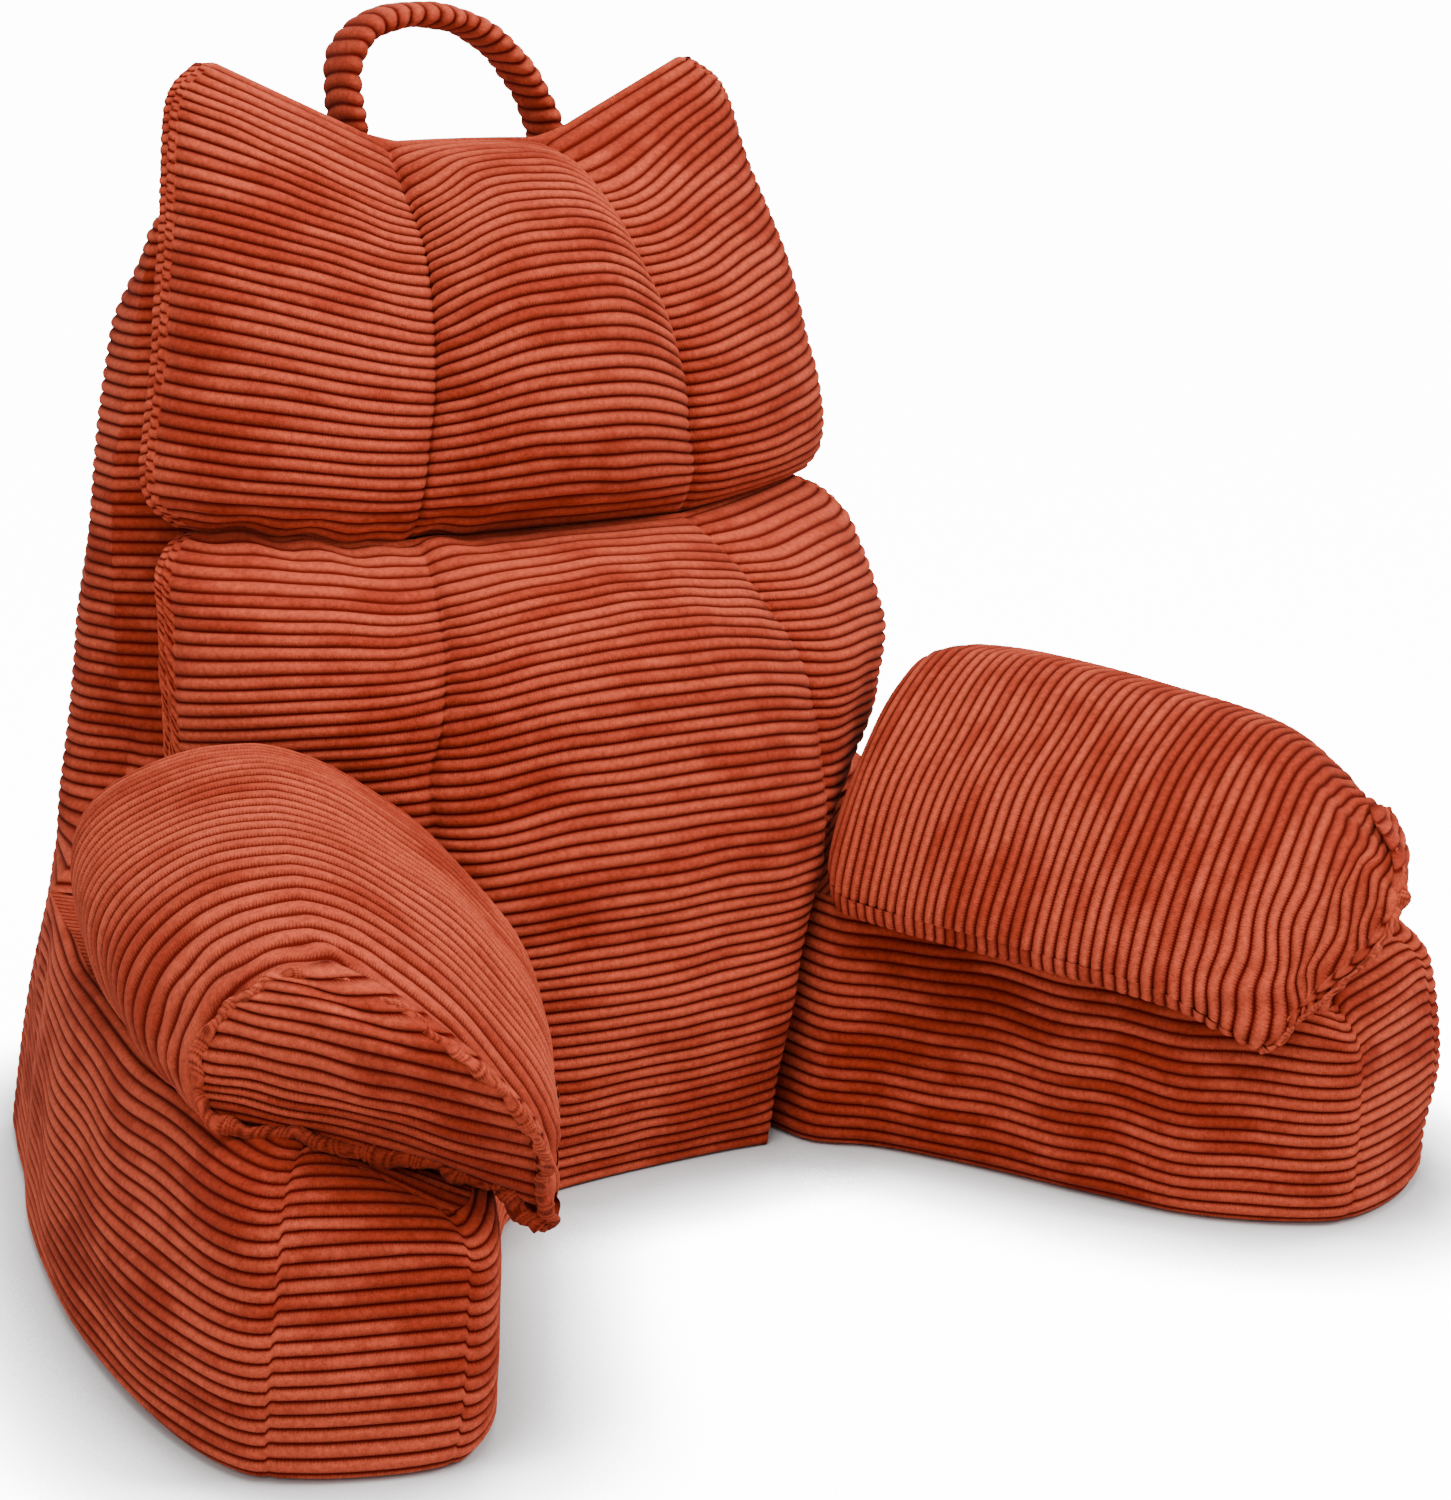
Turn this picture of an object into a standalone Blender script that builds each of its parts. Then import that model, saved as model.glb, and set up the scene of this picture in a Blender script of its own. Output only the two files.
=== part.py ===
"""Reading pillow with arms, in wide-ribbed corduroy.

A boxed body (back and two arm bases in one), two channelled back cushions, two plump
arm pads and a gathered carry handle. Metres, +Z up, front towards -Y. The origin lies
on the floor under the middle of the whole pillow.
"""
import math

import bmesh
import bpy
import numpy as np

# ---- driving sizes, metres ----
MM = 0.001
WALE = 7.0 * MM              # pitch of the corduroy's ribs
GROOVE = 1.5 * MM            # depth of the groove between two ribs
GAP = 1.0 * MM               # between a cushion's back and the body
SEAT_GAP = 0.4 * MM          # under a piece that is sewn or laid on another
PAD_LIFT = 1.3 * MM          # room under a pad for the unevenness of the arm's top

ARM_RISE = 146.0 * MM        # height of the arm bases where they leave the back
BODY_TOP = 490.0 * MM        # height of the body's flat top
TOP_ROUND = 24.0 * MM        # rounding of the body's top edge
TOP_FRONT_ROUND = 3.0 * MM   # and of its front edge, behind the head cushion
FOOT_ROUND = 9.0 * MM        # height of the rounding of the edge that meets the floor
FOOT_DEPTH = 0.7             # its depth, as a share of that height
FRONT_STRIP = 26.0 * MM      # ribbed strip of the body's front beside the cushions
FRONT_BEND = 2.5             # power of the curve of the body's hidden front
FACE_SHARES = (0.6, 0.0, -0.6)   # columns of points across that front, right to left

HEM = 7.0 * MM               # thickness of a cushion at its sewn edge
EDGE_SWELL = 62.0 * MM       # how fast a cushion thickens inwards from that edge
CHANNEL_STEPS = 6            # facets across a middle channel
SIDE_STEPS = 4               # facets across a side channel
CROWN_FLAT = 2.2             # flatness of the middle of a channel's crown
CROWN_FULL = 0.62            # fullness of a channel beside its seams
BACK_FACET = 18.0 * MM       # height of a facet of a cushion's hidden back
BACK_SHARES = (1.0, 0.82, 0.5, 0.0, -0.5, -0.82, -1.0)   # columns of points across it
EAR_CLEARANCE = 14.0 * MM    # an ear leans back only from this far over the body's top

PAD_REAR_ROUND = 30.0 * MM   # rounding of a pad's rear end
PAD_FRONT_ROUND = 9.0 * MM   # rounding of the seam round its D-shaped end
PAD_REAR_START = 2.0 * MM    # where in its rounding the rear end begins
PAD_FRONT_START = 4.0 * MM   # and the front end
PAD_END_SIZE = 0.55          # share of a section's size that the rounding leaves
FLANK_BEND = 1.45            # power of the superellipse of the inner flank
SIDE_BEND = 2.0              # and of the outer side
FLAP_EDGE = 0.97             # where the underside meets the flap's lip
FLAP_START = 1.08            # where it starts to hang, as a share of the arm's edge
FLAP_FOLD = 0.9              # the underside's fold lies at most this far out

HANDLE_THICK = 6.3 * MM      # half the thickness of the strap in the plane of the loop
HANDLE_WIDE = 17.0 * MM       # and half its width from front to back
HANDLE_GATHER = 8.0 * MM     # pitch of the gathers
HANDLE_PINCH = 1.4 * MM      # depth between two gathers
HANDLE_Y = 171.0 * MM
HANDLE_SIDES = 8
# centre line of the loop from its left root to its right one, millimetres: x, height
HANDLE_LINE = [
    (-53, 490),
    (-54, 511),
    (-57, 532),
    (-56, 550),
    (-47, 563),
    (-35, 569),
    (-19, 572),
    (0, 571),
    (17, 566),
    (33, 556),
    (47, 541),
    (57, 525),
    (63, 508),
    (64, 490),
]

RUST = (0.53, 0.115, 0.035, 1.0)
RUST_DARK = (0.42, 0.08, 0.025, 1.0)

# ---- the body, plan sections: a row for each height, right half, millimetres ----
# height | ridge x, y | side x, y | quarter x, y | rear corner x, y | rear x, y | middle y
BACK_SECTIONS = [
    (0,   280, 115, 264, 168, 243, 218, 188, 262, 102, 284, 292),
    (70,  270, 118, 252, 168, 232, 216, 180, 259, 99, 281, 290),
    (146, 252, 130, 233, 173, 214, 214, 167, 254, 94, 277, 287),
    (187, 204, 148, 220, 180, 208, 214, 160, 252, 90, 276, 285),
    (250, 203, 150, 211, 182, 196, 214, 152, 251, 86, 274, 284),
    (337, 202, 150, 200, 180, 185, 211, 145, 247, 82, 270, 281),
    (421, 186, 152, 185, 180, 169, 211, 132, 244, 76, 265, 275),
    (467, 174, 153, 163, 179, 148, 207, 118, 238, 67, 258, 267),
    (490, 168, 153, 156, 180, 141, 206, 112, 235, 64, 255, 264),
]
# outline of an arm base from the ridge forwards and back in:
# floor x, y | top x, y, height | belly of its wall | tuck of the left arm's wall at the floor
ARM_OUTLINE = [
    (304, 45,   281, 45,   146, 3, 0),
    (323, -38,  302, -38,  145, 6, 0),
    (335, -122, 316, -122, 143, 8, 0),
    (337, -199, 322, -200, 140, 9, 0),
    (329, -243, 318, -249, 137, 9, 0),
    (311, -263, 297, -261, 131, 7, 0),
    (287, -277, 275, -273, 124, 5, 0),
    (258, -285, 250, -284, 115, 5, 4),
    (234, -283, 231, -291, 107, 4, 8),
    (203, -262, 210, -263, 109, 3, 16),
    (178, -232, 189, -232, 112, 3, 24),
    (160, -192, 170, -190, 115, 3, 22),
    (143, -148, 155, -146, 118, 2, 14),
    (126, -108, 140, -106, 120, 2, 5),
    (108, -74,  123, -70,  122, 1, 0),
    (84,  -48,  109, -42,  124, 0, 0),
    (78,  0,    107, 21,   124, 0, 0),
    (60,  14,   80, 27,    124, 0, 0),
    (0,   16,   0,  25,    124, 0, 0),
]
TOP_TUCK = 0.6               # share of the tuck that is left at the top of the wall
INNER_CORNER = 8             # outline row at the inner corner of the end panel
PANEL_MIDDLE = 6             # and at the middle of the end panel
# the hidden front of the body behind the cushions: height | y at the middle | y at the side
FRONT_FACE = [
    (146, 26, 130),
    (187, 38, 148),
    (250, 66, 150),
    (316, 96, 150),
    (393, 112, 151),
    (441, 130, 152),
    (490, 151, 153),
]

# ---- the cushions: a row down the panel, millimetres ----
# seam x, y, z | edge x, y, z | crown of the middle channel | its ribs' rise | side puff
HEAD_ROWS = [
    (46, 143, 505, 147, 152, 550, 0, 3, 0),
    (50, 129, 496, 161, 148, 540, 14, 10, 9),
    (53, 114, 485, 168, 145, 526, 24, 15, 16),
    (56, 91, 464, 174, 138, 494, 31, 17, 22),
    (61, 72, 441, 180, 129, 466, 34, 16, 24),
    (66, 59, 417, 187, 121, 438, 35, 14, 25),
    (70, 52, 393, 192, 116, 409, 35, 11, 26),
    (74, 50, 369, 198, 113, 381, 34, 8, 26),
    (78, 51, 344, 203, 110, 354, 28, 4, 22),
    (79, 55, 330, 200, 106, 338, 18, 2, 14),
    (80, 63, 319, 188, 104, 327, 5, 0, 4),
]
LUMBAR_ROWS = [
    (80, 58, 316, 184, 105, 324, 5, 0, 4),
    (81, 44, 308, 197, 98, 317, 20, 5, 13),
    (86, 26, 295, 206, 89, 305, 30, 7, 20),
    (91, 12, 282, 207, 84, 292, 33, 8, 24),
    (95, 0, 269, 209, 79, 279, 35, 9, 23),
    (100, -8, 256, 211, 76, 265, 36, 9, 22),
    (104, -13, 242, 212, 72, 252, 36, 8, 21),
    (108, -14, 228, 212, 71, 238, 36, 7, 18),
    (112, -15, 214, 211, 72, 225, 36, 6, 14),
    (113, -20, 180, 210, 75, 196, 34, 3, 8),
    (109, -26, 150, 176, 60, 167, 30, 0, 2),
    (106, -27, 138, 146, 34, 152, 28, 0, 1),
    (98, -30, 122, 110, -4, 132, 24, -2, 1),
    (84, -38, 80, 91, -12, 82, 15, -3, 1),
    (74, -40, 40, 80, -12, 40, 6, -2, 1),
    (67, -39, 0, 73, -12, 0, -6, 0, 0),
]

# ---- an arm pad: a row for each cross-section from the rear, millimetres ----
# ridge x, y, z | inner edge reach, thickness | outer side reach, height | splay, degrees
# | how far the flap's lip hangs under the plane of the arm's top
PAD_ROWS = [
    (195, 11, 244, -117, 10, 85, 193, 26, -3),
    (218, -49, 245, -124, 10, 86, 193, 24, -5),
    (242, -115, 238, -120, 10, 82, 186, 22, -3),
    (265, -180, 228, -110, 10, 70, 176, 22, 3),
    (286, -245, 209, -93, 9, 50, 157, 26, 17),
]
SOLE_REACH = 0.72            # share of the outer reach where the flat sole begins
FLANK_STEPS = 5
SIDE_BACK_STEPS = 3
SOLE_STEPS = 3


# ---- helpers ----
def rail(table, positions):
    """Read a smooth curve through a table's rows at positions given in rows."""
    rows = np.asarray(table, dtype=float)
    last = len(rows) - 1
    result = []
    for position in positions:
        k = min(int(position), last - 1)
        t = position - k
        before = rows[max(k - 1, 0)]
        after = rows[min(k + 2, last)]
        a, b = rows[k], rows[k + 1]
        slope_a = 0.5 * (b - before) if k > 0 else b - a
        slope_b = 0.5 * (after - a) if k + 1 < last else b - a
        h = t * t * (3.0 - 2.0 * t)
        result.append(a + (b - a) * h + slope_a * t * (1 - t) ** 2 - slope_b * t * t * (1 - t))
    return np.array(result)


def even_positions(table, columns, count):
    """Positions in rows, spaced evenly along the curve that some columns describe."""
    fine = np.linspace(0.0, len(table) - 1.0, 40 * len(table))
    points = rail(table, fine)[:, columns]
    steps = np.linalg.norm(np.diff(points, axis=0), axis=1)
    run = np.concatenate([[0.0], np.cumsum(steps)])
    return np.interp(np.linspace(0.0, run[-1], count), run, fine), run[-1]


def rib_rows(length):
    """Number of rows of points for ribs of about one wale: a ridge and a groove each."""
    return 2 * int(round(length / WALE)) + 1


def shift_ribs(grid, depth=GROOVE):
    """Shift every second row of a grid of points against the grid's normals.

    Where these point out of the piece that presses grooves in, and where they point
    into it that raises ribs.
    """
    down = np.gradient(grid, axis=0)
    across = np.gradient(grid, axis=1)
    normals = np.cross(down, across)
    normals /= np.maximum(np.linalg.norm(normals, axis=2, keepdims=True), 1e-9)
    shifted = grid.copy()
    shifted[1::2] -= depth * normals[1::2]
    return shifted


def quarter_round(distance, radius):
    """Share of full size at a distance from a rounded end."""
    rest = np.clip(1.0 - np.asarray(distance) / radius, 0.0, 1.0)
    return np.sqrt(1.0 - rest ** 2)


class Skin:
    """A closed mesh that is sewn together from rows of points."""

    def __init__(self):
        self.bm = bmesh.new()

    def row(self, points):
        """Add one row of points and return its vertices."""
        return [self.bm.verts.new(tuple(p)) for p in points]

    def face(self, *verts):
        """Add a face, leaving out corners that are the same vertex."""
        corners = [v for i, v in enumerate(verts) if v is not verts[i - 1]]
        if len(corners) > 2:
            self.bm.faces.new(corners)

    def grid(self, rows, closed=False):
        """Sew neighbouring rows of equal length together with quads."""
        for upper, lower in zip(rows, rows[1:]):
            count = len(upper)
            for i in range(count if closed else count - 1):
                j = (i + 1) % count
                self.face(upper[i], lower[i], lower[j], upper[j])

    def stitch(self, first, second):
        """Sew two chains with different numbers of points together with triangles."""
        i = j = 0
        while i < len(first) - 1 or j < len(second) - 1:
            ahead_first = (i + 1) / max(len(first) - 1, 1)
            ahead_second = (j + 1) / max(len(second) - 1, 1)
            if j >= len(second) - 1 or (i < len(first) - 1 and ahead_first <= ahead_second):
                self.face(first[i], second[j], first[i + 1])
                i += 1
            else:
                self.face(first[i], second[j], second[j + 1])
                j += 1

    def fan(self, loop):
        """Close a loop with triangles round a point in its middle."""
        middle = np.mean([v.co for v in loop], axis=0)
        hub = self.bm.verts.new(tuple(middle))
        for i, vert in enumerate(loop):
            self.face(loop[i - 1], vert, hub)

    def finish(self, name, material):
        """Turn the mesh into a named object whose faces point out."""
        bmesh.ops.triangulate(self.bm, faces=self.bm.faces[:])
        bmesh.ops.recalc_face_normals(self.bm, faces=self.bm.faces[:])
        mesh = bpy.data.meshes.new(name)
        self.bm.to_mesh(mesh)
        self.bm.free()
        mesh.shade_smooth()
        mesh.set_sharp_from_angle(angle=math.radians(40.0))
        mesh.materials.append(material)
        piece = bpy.data.objects.new(name, mesh)
        bpy.context.collection.objects.link(piece)
        return piece


def cloth(name, colour, roughness=0.92):
    """A matt cloth material."""
    material = bpy.data.materials.new(name)
    material.use_nodes = True
    shader = material.node_tree.nodes["Principled BSDF"]
    shader.inputs["Base Color"].default_value = colour
    shader.inputs["Roughness"].default_value = roughness
    shader.inputs["Metallic"].default_value = 0.0
    return material


def mirrored(points):
    """The same points on the other side of the middle plane."""
    return np.asarray(points) * (-1.0, 1.0, 1.0)


def both_halves(half):
    """A chain from right to left: the right half, then its mirror without the middle."""
    return np.concatenate([half, mirrored(half[-2::-1])])


# ---- the body ----
def front_face_y(x, z):
    """How far back the body's front lies behind the cushions, at a place."""
    heights = [row[0] * MM for row in FRONT_FACE]
    middle = np.interp(z, heights, [row[1] * MM for row in FRONT_FACE])
    side = np.interp(z, heights, [row[2] * MM for row in FRONT_FACE])
    ridges = np.array([row[:2] for row in BACK_SECTIONS]) * MM
    ridge_x = np.interp(z, ridges[:, 0], ridges[:, 1])
    return middle + (side - middle) * np.clip(np.abs(x) / ridge_x, 0.0, 1.0) ** FRONT_BEND


def inset(chain, distance):
    """Move a plan chain inwards, to the left of its run, by one distance or one a point."""
    run = np.gradient(chain, axis=0)
    sideways = np.stack([-run[:, 1], run[:, 0], np.zeros(len(chain))], axis=1)
    sideways /= np.linalg.norm(sideways, axis=1, keepdims=True)
    return chain + sideways * np.reshape(distance, (-1, 1))


def inset_back(chain, distance):
    """The same for the sides and rear; their two ridges slide along the front."""
    moved = inset(chain, distance)
    moved[0] = chain[0] - (distance, 0.0, 0.0)
    moved[-1] = chain[-1] + (distance, 0.0, 0.0)
    return moved


def back_chain(height):
    """The plan of the sides and rear at one height, from the right ridge to the left."""
    heights = [row[0] for row in BACK_SECTIONS]
    position = np.interp(height / MM, heights, range(len(heights)))
    row = rail(BACK_SECTIONS, [position])[0] * MM
    half = [(row[k], row[k + 1], height) for k in range(1, 11, 2)] + [(0.0, row[11], height)]
    return both_halves(np.array(half))


def arm_chain(share):
    """The plan of the arms and inner front at a share of their height, ridge to ridge."""
    table = np.array(ARM_OUTLINE, dtype=float) * MM
    plan = table[:, :2] + (table[:, 2:4] - table[:, :2]) * share
    half = np.column_stack([plan, table[:, 4] * share])
    chain = both_halves(half)
    chain[len(half):, 0] -= table[-2::-1, 6] * (1.0 + (TOP_TUCK - 1.0) * share)
    bellies = table[:, 5] * math.sin(math.pi * share)
    return chain, np.concatenate([bellies, bellies[-2::-1]])


def body_heights():
    """Heights of the rows of ribs over the arms, closer together on the rounded top."""
    straight = BODY_TOP - TOP_ROUND - ARM_RISE
    arc = TOP_ROUND * math.pi / 2.0
    count = rib_rows(straight + arc)
    heights = []
    for run in np.linspace(0.0, straight + arc, count):
        if run <= straight:
            heights.append(ARM_RISE + run)
        else:
            angle = (run - straight) / TOP_ROUND
            heights.append(BODY_TOP - TOP_ROUND + TOP_ROUND * math.sin(angle))
    return heights


def make_body(material):
    """The filled back and both arm bases, one solid."""
    skin = Skin()
    low_count = rib_rows(ARM_RISE)
    low_backs, low_arms = [], []
    for k in range(low_count):
        share = k / (low_count - 1)
        height = ARM_RISE * share
        pull = FOOT_ROUND * FOOT_DEPTH * (1.0 - quarter_round(height, FOOT_ROUND))
        pull += GROOVE * (k % 2)
        back = inset_back(back_chain(height), pull)
        plan, bellies = arm_chain(share)
        arms = inset(plan[::-1], pull - bellies)
        low_backs.append(skin.row(back))
        arm_row = skin.row(arms)
        low_arms.append([low_backs[-1][-1]] + arm_row + [low_backs[-1][0]])
    skin.grid(low_backs)
    skin.grid(low_arms)

    high_backs, strips_right, strips_left = [low_backs[-1]], [], []
    heights = body_heights()
    for k, height in enumerate(heights):
        over = max(height - (BODY_TOP - TOP_ROUND), 0.0) / TOP_ROUND
        pull = TOP_ROUND * (1.0 - math.sqrt(max(1.0 - over * over, 0.0))) + GROOVE * (k % 2)
        chain = inset_back(back_chain(height), pull if k else 0.0)
        if k:
            high_backs.append(skin.row(chain))
        x = chain[0][0] - FRONT_STRIP
        y = front_face_y(x, height) + (TOP_FRONT_ROUND * over ** 2 if k else 0.0)
        strips_right.append(skin.bm.verts.new((x, y, height)))
        strips_left.append(skin.bm.verts.new((-x, y, height)))
    skin.grid(high_backs)
    skin.grid([[right, row[0]] for right, row in zip(strips_right, high_backs)])
    skin.grid([[row[-1], left] for left, row in zip(strips_left, high_backs)])

    face_columns = []
    face_heights = [heights[0]] + [row[0] * MM for row in FRONT_FACE[1:-1]] + [heights[-1]]
    for share in FACE_SHARES:
        column = []
        for height in face_heights:
            x = share * np.interp(height, heights, [v.co.x for v in strips_right])
            y = front_face_y(x, height) + (TOP_FRONT_ROUND if height == heights[-1] else 0.0)
            column.append(skin.bm.verts.new((x, y, height)))
        face_columns.append(column)
    skin.stitch(strips_right, face_columns[0])
    skin.stitch(face_columns[0], face_columns[1])
    skin.stitch(face_columns[1], face_columns[2])
    skin.stitch(face_columns[2], strips_left)

    top_front = [column[-1] for column in face_columns]
    skin.face(*high_backs[-1], strips_left[-1], *reversed(top_front), strips_right[-1])
    skin.face(*reversed(low_backs[0]), *reversed(low_arms[0][1:-1]))

    # the tops of the arm bases and the ledge behind the cushions
    rim = low_arms[-1]
    tip = PANEL_MIDDLE + 1
    inner_end = len(ARM_OUTLINE) - 2
    skin.stitch(rim[tip::-1], rim[tip:inner_end + 1])
    mirror = rim[::-1]
    skin.stitch(mirror[tip:inner_end + 1], mirror[tip::-1])
    face_feet = [column[0] for column in reversed(face_columns)]
    ledge = [rim[0], strips_left[0], *face_feet, strips_right[0], rim[-1]]
    skin.stitch(ledge, rim[inner_end:len(rim) - inner_end])
    return skin.finish("body", material)


# ---- the cushions ----
def across_shares():
    """Columns of a cushion's front: +1 is its right edge, +-0.5 the channel seams."""
    side = np.linspace(1.0, 0.5, SIDE_STEPS, endpoint=False)
    middle = np.linspace(0.5, -0.5, CHANNEL_STEPS, endpoint=False)
    return np.concatenate([side, middle, -0.5 - np.linspace(0.0, 0.5, SIDE_STEPS + 1)])


def cushion_front(row, share):
    """A point of a cushion's front, from a table row and the place across."""
    seam_x, seam_y, seam_z, edge_x, edge_y, edge_z, crown, rise, puff = row
    sign = -1.0 if share < 0.0 else 1.0
    place = abs(share)
    if place <= 0.5:
        s = place / 0.5
        swell = (1.0 - s ** CROWN_FLAT) ** CROWN_FULL
        return np.array((sign * seam_x * s, seam_y - crown * swell, seam_z + rise * swell))
    s = (place - 0.5) / 0.5
    swell = (4.0 * s * (1.0 - s)) ** CROWN_FULL
    chord = np.array((edge_x - seam_x, edge_y - seam_y))
    lean = np.array((chord[1], -chord[0])) / np.linalg.norm(chord)
    x = seam_x + chord[0] * s + lean[0] * puff * swell
    y = seam_y + chord[1] * s + lean[1] * puff * swell
    return np.array((sign * x, y, seam_z + (edge_z - seam_z) * s))


def cushion_back(row, share, hem_distance):
    """A point of a cushion's back: a thin hem that swells until it meets the body."""
    seam_x, seam_y, seam_z, edge_x, edge_y, edge_z, _, _, _ = row
    flat = cushion_front((seam_x, seam_y, seam_z, edge_x, edge_y, edge_z, 0, 0, 0), share) * MM
    from_side = (1.0 - abs(share)) * 2.0 * (edge_x - seam_x) * MM
    inwards = min(from_side, hem_distance)
    thickness = HEM + EDGE_SWELL * (1.0 - math.exp(-inwards / EDGE_SWELL))
    depth = flat[1] + thickness
    if flat[2] < BODY_TOP + EAR_CLEARANCE:
        depth = min(depth, front_face_y(flat[0], flat[2]) - GAP)
    return np.array((flat[0], depth, flat[2]))


def make_cushion(name, table, thick_foot, material):
    """A channelled cushion with ribs from side to side; a thick foot has no hem below."""
    skin = Skin()
    seam = [0, 1, 2]
    length = even_positions(table, seam, 2)[1] * MM
    positions = even_positions(table, seam, rib_rows(length))[0]
    rows = rail(table, positions)
    shares = across_shares()
    front = np.array([[cushion_front(row, share) * MM for share in shares] for row in rows])
    front = shift_ribs(front)
    front[:, :, 2] = np.maximum(front[:, :, 2], 0.0)
    front_rows = [skin.row(line) for line in front]
    skin.grid(front_rows)

    back_positions = even_positions(table, seam, 2 + int(length / BACK_FACET))[0]
    back_rows = []
    last = len(back_positions) - 1
    for k, row in enumerate(rail(table, back_positions)):
        hem_distance = length * min(k, last if thick_foot else last - k) / last
        line = [cushion_back(row, share, hem_distance) for share in BACK_SHARES]
        back_rows.append(skin.row(line))
    skin.grid(back_rows)
    skin.stitch([row[0] for row in front_rows], [row[0] for row in back_rows])
    skin.stitch([row[-1] for row in front_rows], [row[-1] for row in back_rows])
    skin.stitch(front_rows[0], back_rows[0])
    skin.stitch(front_rows[-1], back_rows[-1])
    return skin.finish(name, material)


# ---- the arm pads ----
def arm_edges(y, side):
    """The x and the height of an arm's inner and outer top edges at one y."""
    table = np.array(ARM_OUTLINE[:-2], dtype=float) * MM
    if side < 0.0:
        table[:, 2] += table[:, 6] * TOP_TUCK
    outer = table[INNER_CORNER::-1, 2:5]
    inner = table[INNER_CORNER:, 2:5]
    return [np.interp(y, edge[:, 1], edge[:, k]) for edge in (inner, outer) for k in (0, 2)]


def arm_top_z(x, y, side):
    """Height of the sloping top of an arm base, or of its plane past its edges."""
    inner_x, inner_z, outer_x, outer_z = arm_edges(y, side)
    share = (x - inner_x) / max(outer_x - inner_x, 40.0 * MM)
    return inner_z + (outer_z - inner_z) * share


def pad_section(row, scale, side):
    """The D-shaped outline of a pad at one cross-section, on the right-hand side."""
    ridge = np.array(row[:3]) * MM
    inner, thickness, outer, outer_z = np.array(row[3:7]) * MM
    splay = math.radians(row[7])
    lateral = np.array((math.cos(splay), math.sin(splay)))
    edge = inner
    for _ in range(4):
        edge = (arm_edges(ridge[1] + lateral[1] * edge, side)[0] - ridge[0]) / lateral[0]
    edge = max(edge * FLAP_START, inner * FLAP_FOLD)

    def sole_z(reach):
        x, y = ridge[:2] + lateral * reach
        hang = row[8] * MM * min(max((edge - reach) / (edge - inner), 0.0), 1.0)
        return arm_top_z(x, y, side) + SEAT_GAP + PAD_LIFT - hang

    inner_z = sole_z(inner) + thickness
    outline = []
    for angle in np.linspace(0.0, math.pi / 2.0, FLANK_STEPS, endpoint=False):
        reach = inner * math.cos(angle) ** (2.0 / FLANK_BEND)
        height = inner_z + (ridge[2] - inner_z) * math.sin(angle) ** (2.0 / FLANK_BEND)
        outline.append((reach, height))
    for angle in np.linspace(math.pi / 2.0, 0.0, SIDE_BACK_STEPS, endpoint=False):
        reach = outer * math.cos(angle) ** (2.0 / SIDE_BEND)
        height = outer_z + (ridge[2] - outer_z) * math.sin(angle) ** (2.0 / SIDE_BEND)
        outline.append((reach, height))
    outline.append((outer, outer_z))
    for reach in [*np.linspace(outer * SOLE_REACH, edge, SOLE_STEPS), inner * FLAP_EDGE]:
        outline.append((reach, sole_z(reach)))
    outline = np.array(outline)
    centre = np.array(((inner + outer) * 0.5, (ridge[2] + sole_z(0.0)) * 0.5))
    outline = centre + (outline - centre) * scale
    points = np.zeros((len(outline), 3))
    points[:, 0] = ridge[0] + outline[:, 0] * lateral[0]
    points[:, 1] = ridge[1] + outline[:, 0] * lateral[1]
    points[:, 2] = outline[:, 1]
    return points


def make_pad(name, side, material):
    """A plump pad whose ribs run over the arm; side is +1 for the right, -1 for the left."""
    skin = Skin()
    ridge = [0, 1, 2]
    length = even_positions(PAD_ROWS, ridge, 2)[1] * MM
    positions = even_positions(PAD_ROWS, ridge, rib_rows(length))[0]
    rows = rail(PAD_ROWS, positions)
    sections = []
    for k, row in enumerate(rows):
        along = length * k / (len(rows) - 1)
        rear = quarter_round(along + PAD_REAR_START, PAD_REAR_ROUND)
        front = quarter_round(length - along + PAD_FRONT_START, PAD_FRONT_ROUND)
        front = PAD_END_SIZE + (1.0 - PAD_END_SIZE) * front
        scale = PAD_END_SIZE + (1.0 - PAD_END_SIZE) * min(rear, front)
        sections.append(pad_section(row, scale, side))
    grid = shift_ribs(np.array(sections))
    grid[:, :, 0] *= side
    loops = [skin.row(line) for line in grid]
    skin.grid(loops, closed=True)
    skin.fan(loops[0])
    skin.fan(loops[-1])
    return skin.finish(name, material)


# ---- the handle ----
def make_handle(material):
    """A gathered flat tube of cloth in a loop that stands on the body's top."""
    skin = Skin()
    length = even_positions(HANDLE_LINE, [0, 1], 2)[1] * MM
    count = 2 * int(round(length / HANDLE_GATHER)) + 1
    line = rail(HANDLE_LINE, even_positions(HANDLE_LINE, [0, 1], count)[0]) * MM
    line[:, 1] += SEAT_GAP
    run = np.gradient(line, axis=0)
    run[0] = (0.0, 1.0)
    run[-1] = (0.0, -1.0)
    run /= np.linalg.norm(run, axis=1, keepdims=True)
    loops = []
    for k, (centre, ahead) in enumerate(zip(line, run)):
        pinch = HANDLE_PINCH * (k % 2 == 0)
        loop = []
        for side in range(HANDLE_SIDES):
            turn = 2.0 * math.pi * (side + 0.5) / HANDLE_SIDES
            out = (HANDLE_THICK - pinch) * math.cos(turn)
            x, z = centre + out * np.array((ahead[1], -ahead[0]))
            loop.append((x, HANDLE_Y + (HANDLE_WIDE - pinch) * math.sin(turn), z))
        loops.append(skin.row(loop))
    skin.grid(loops, closed=True)
    skin.fan(loops[0])
    skin.fan(loops[-1])
    return skin.finish("carry_handle", material)


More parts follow.
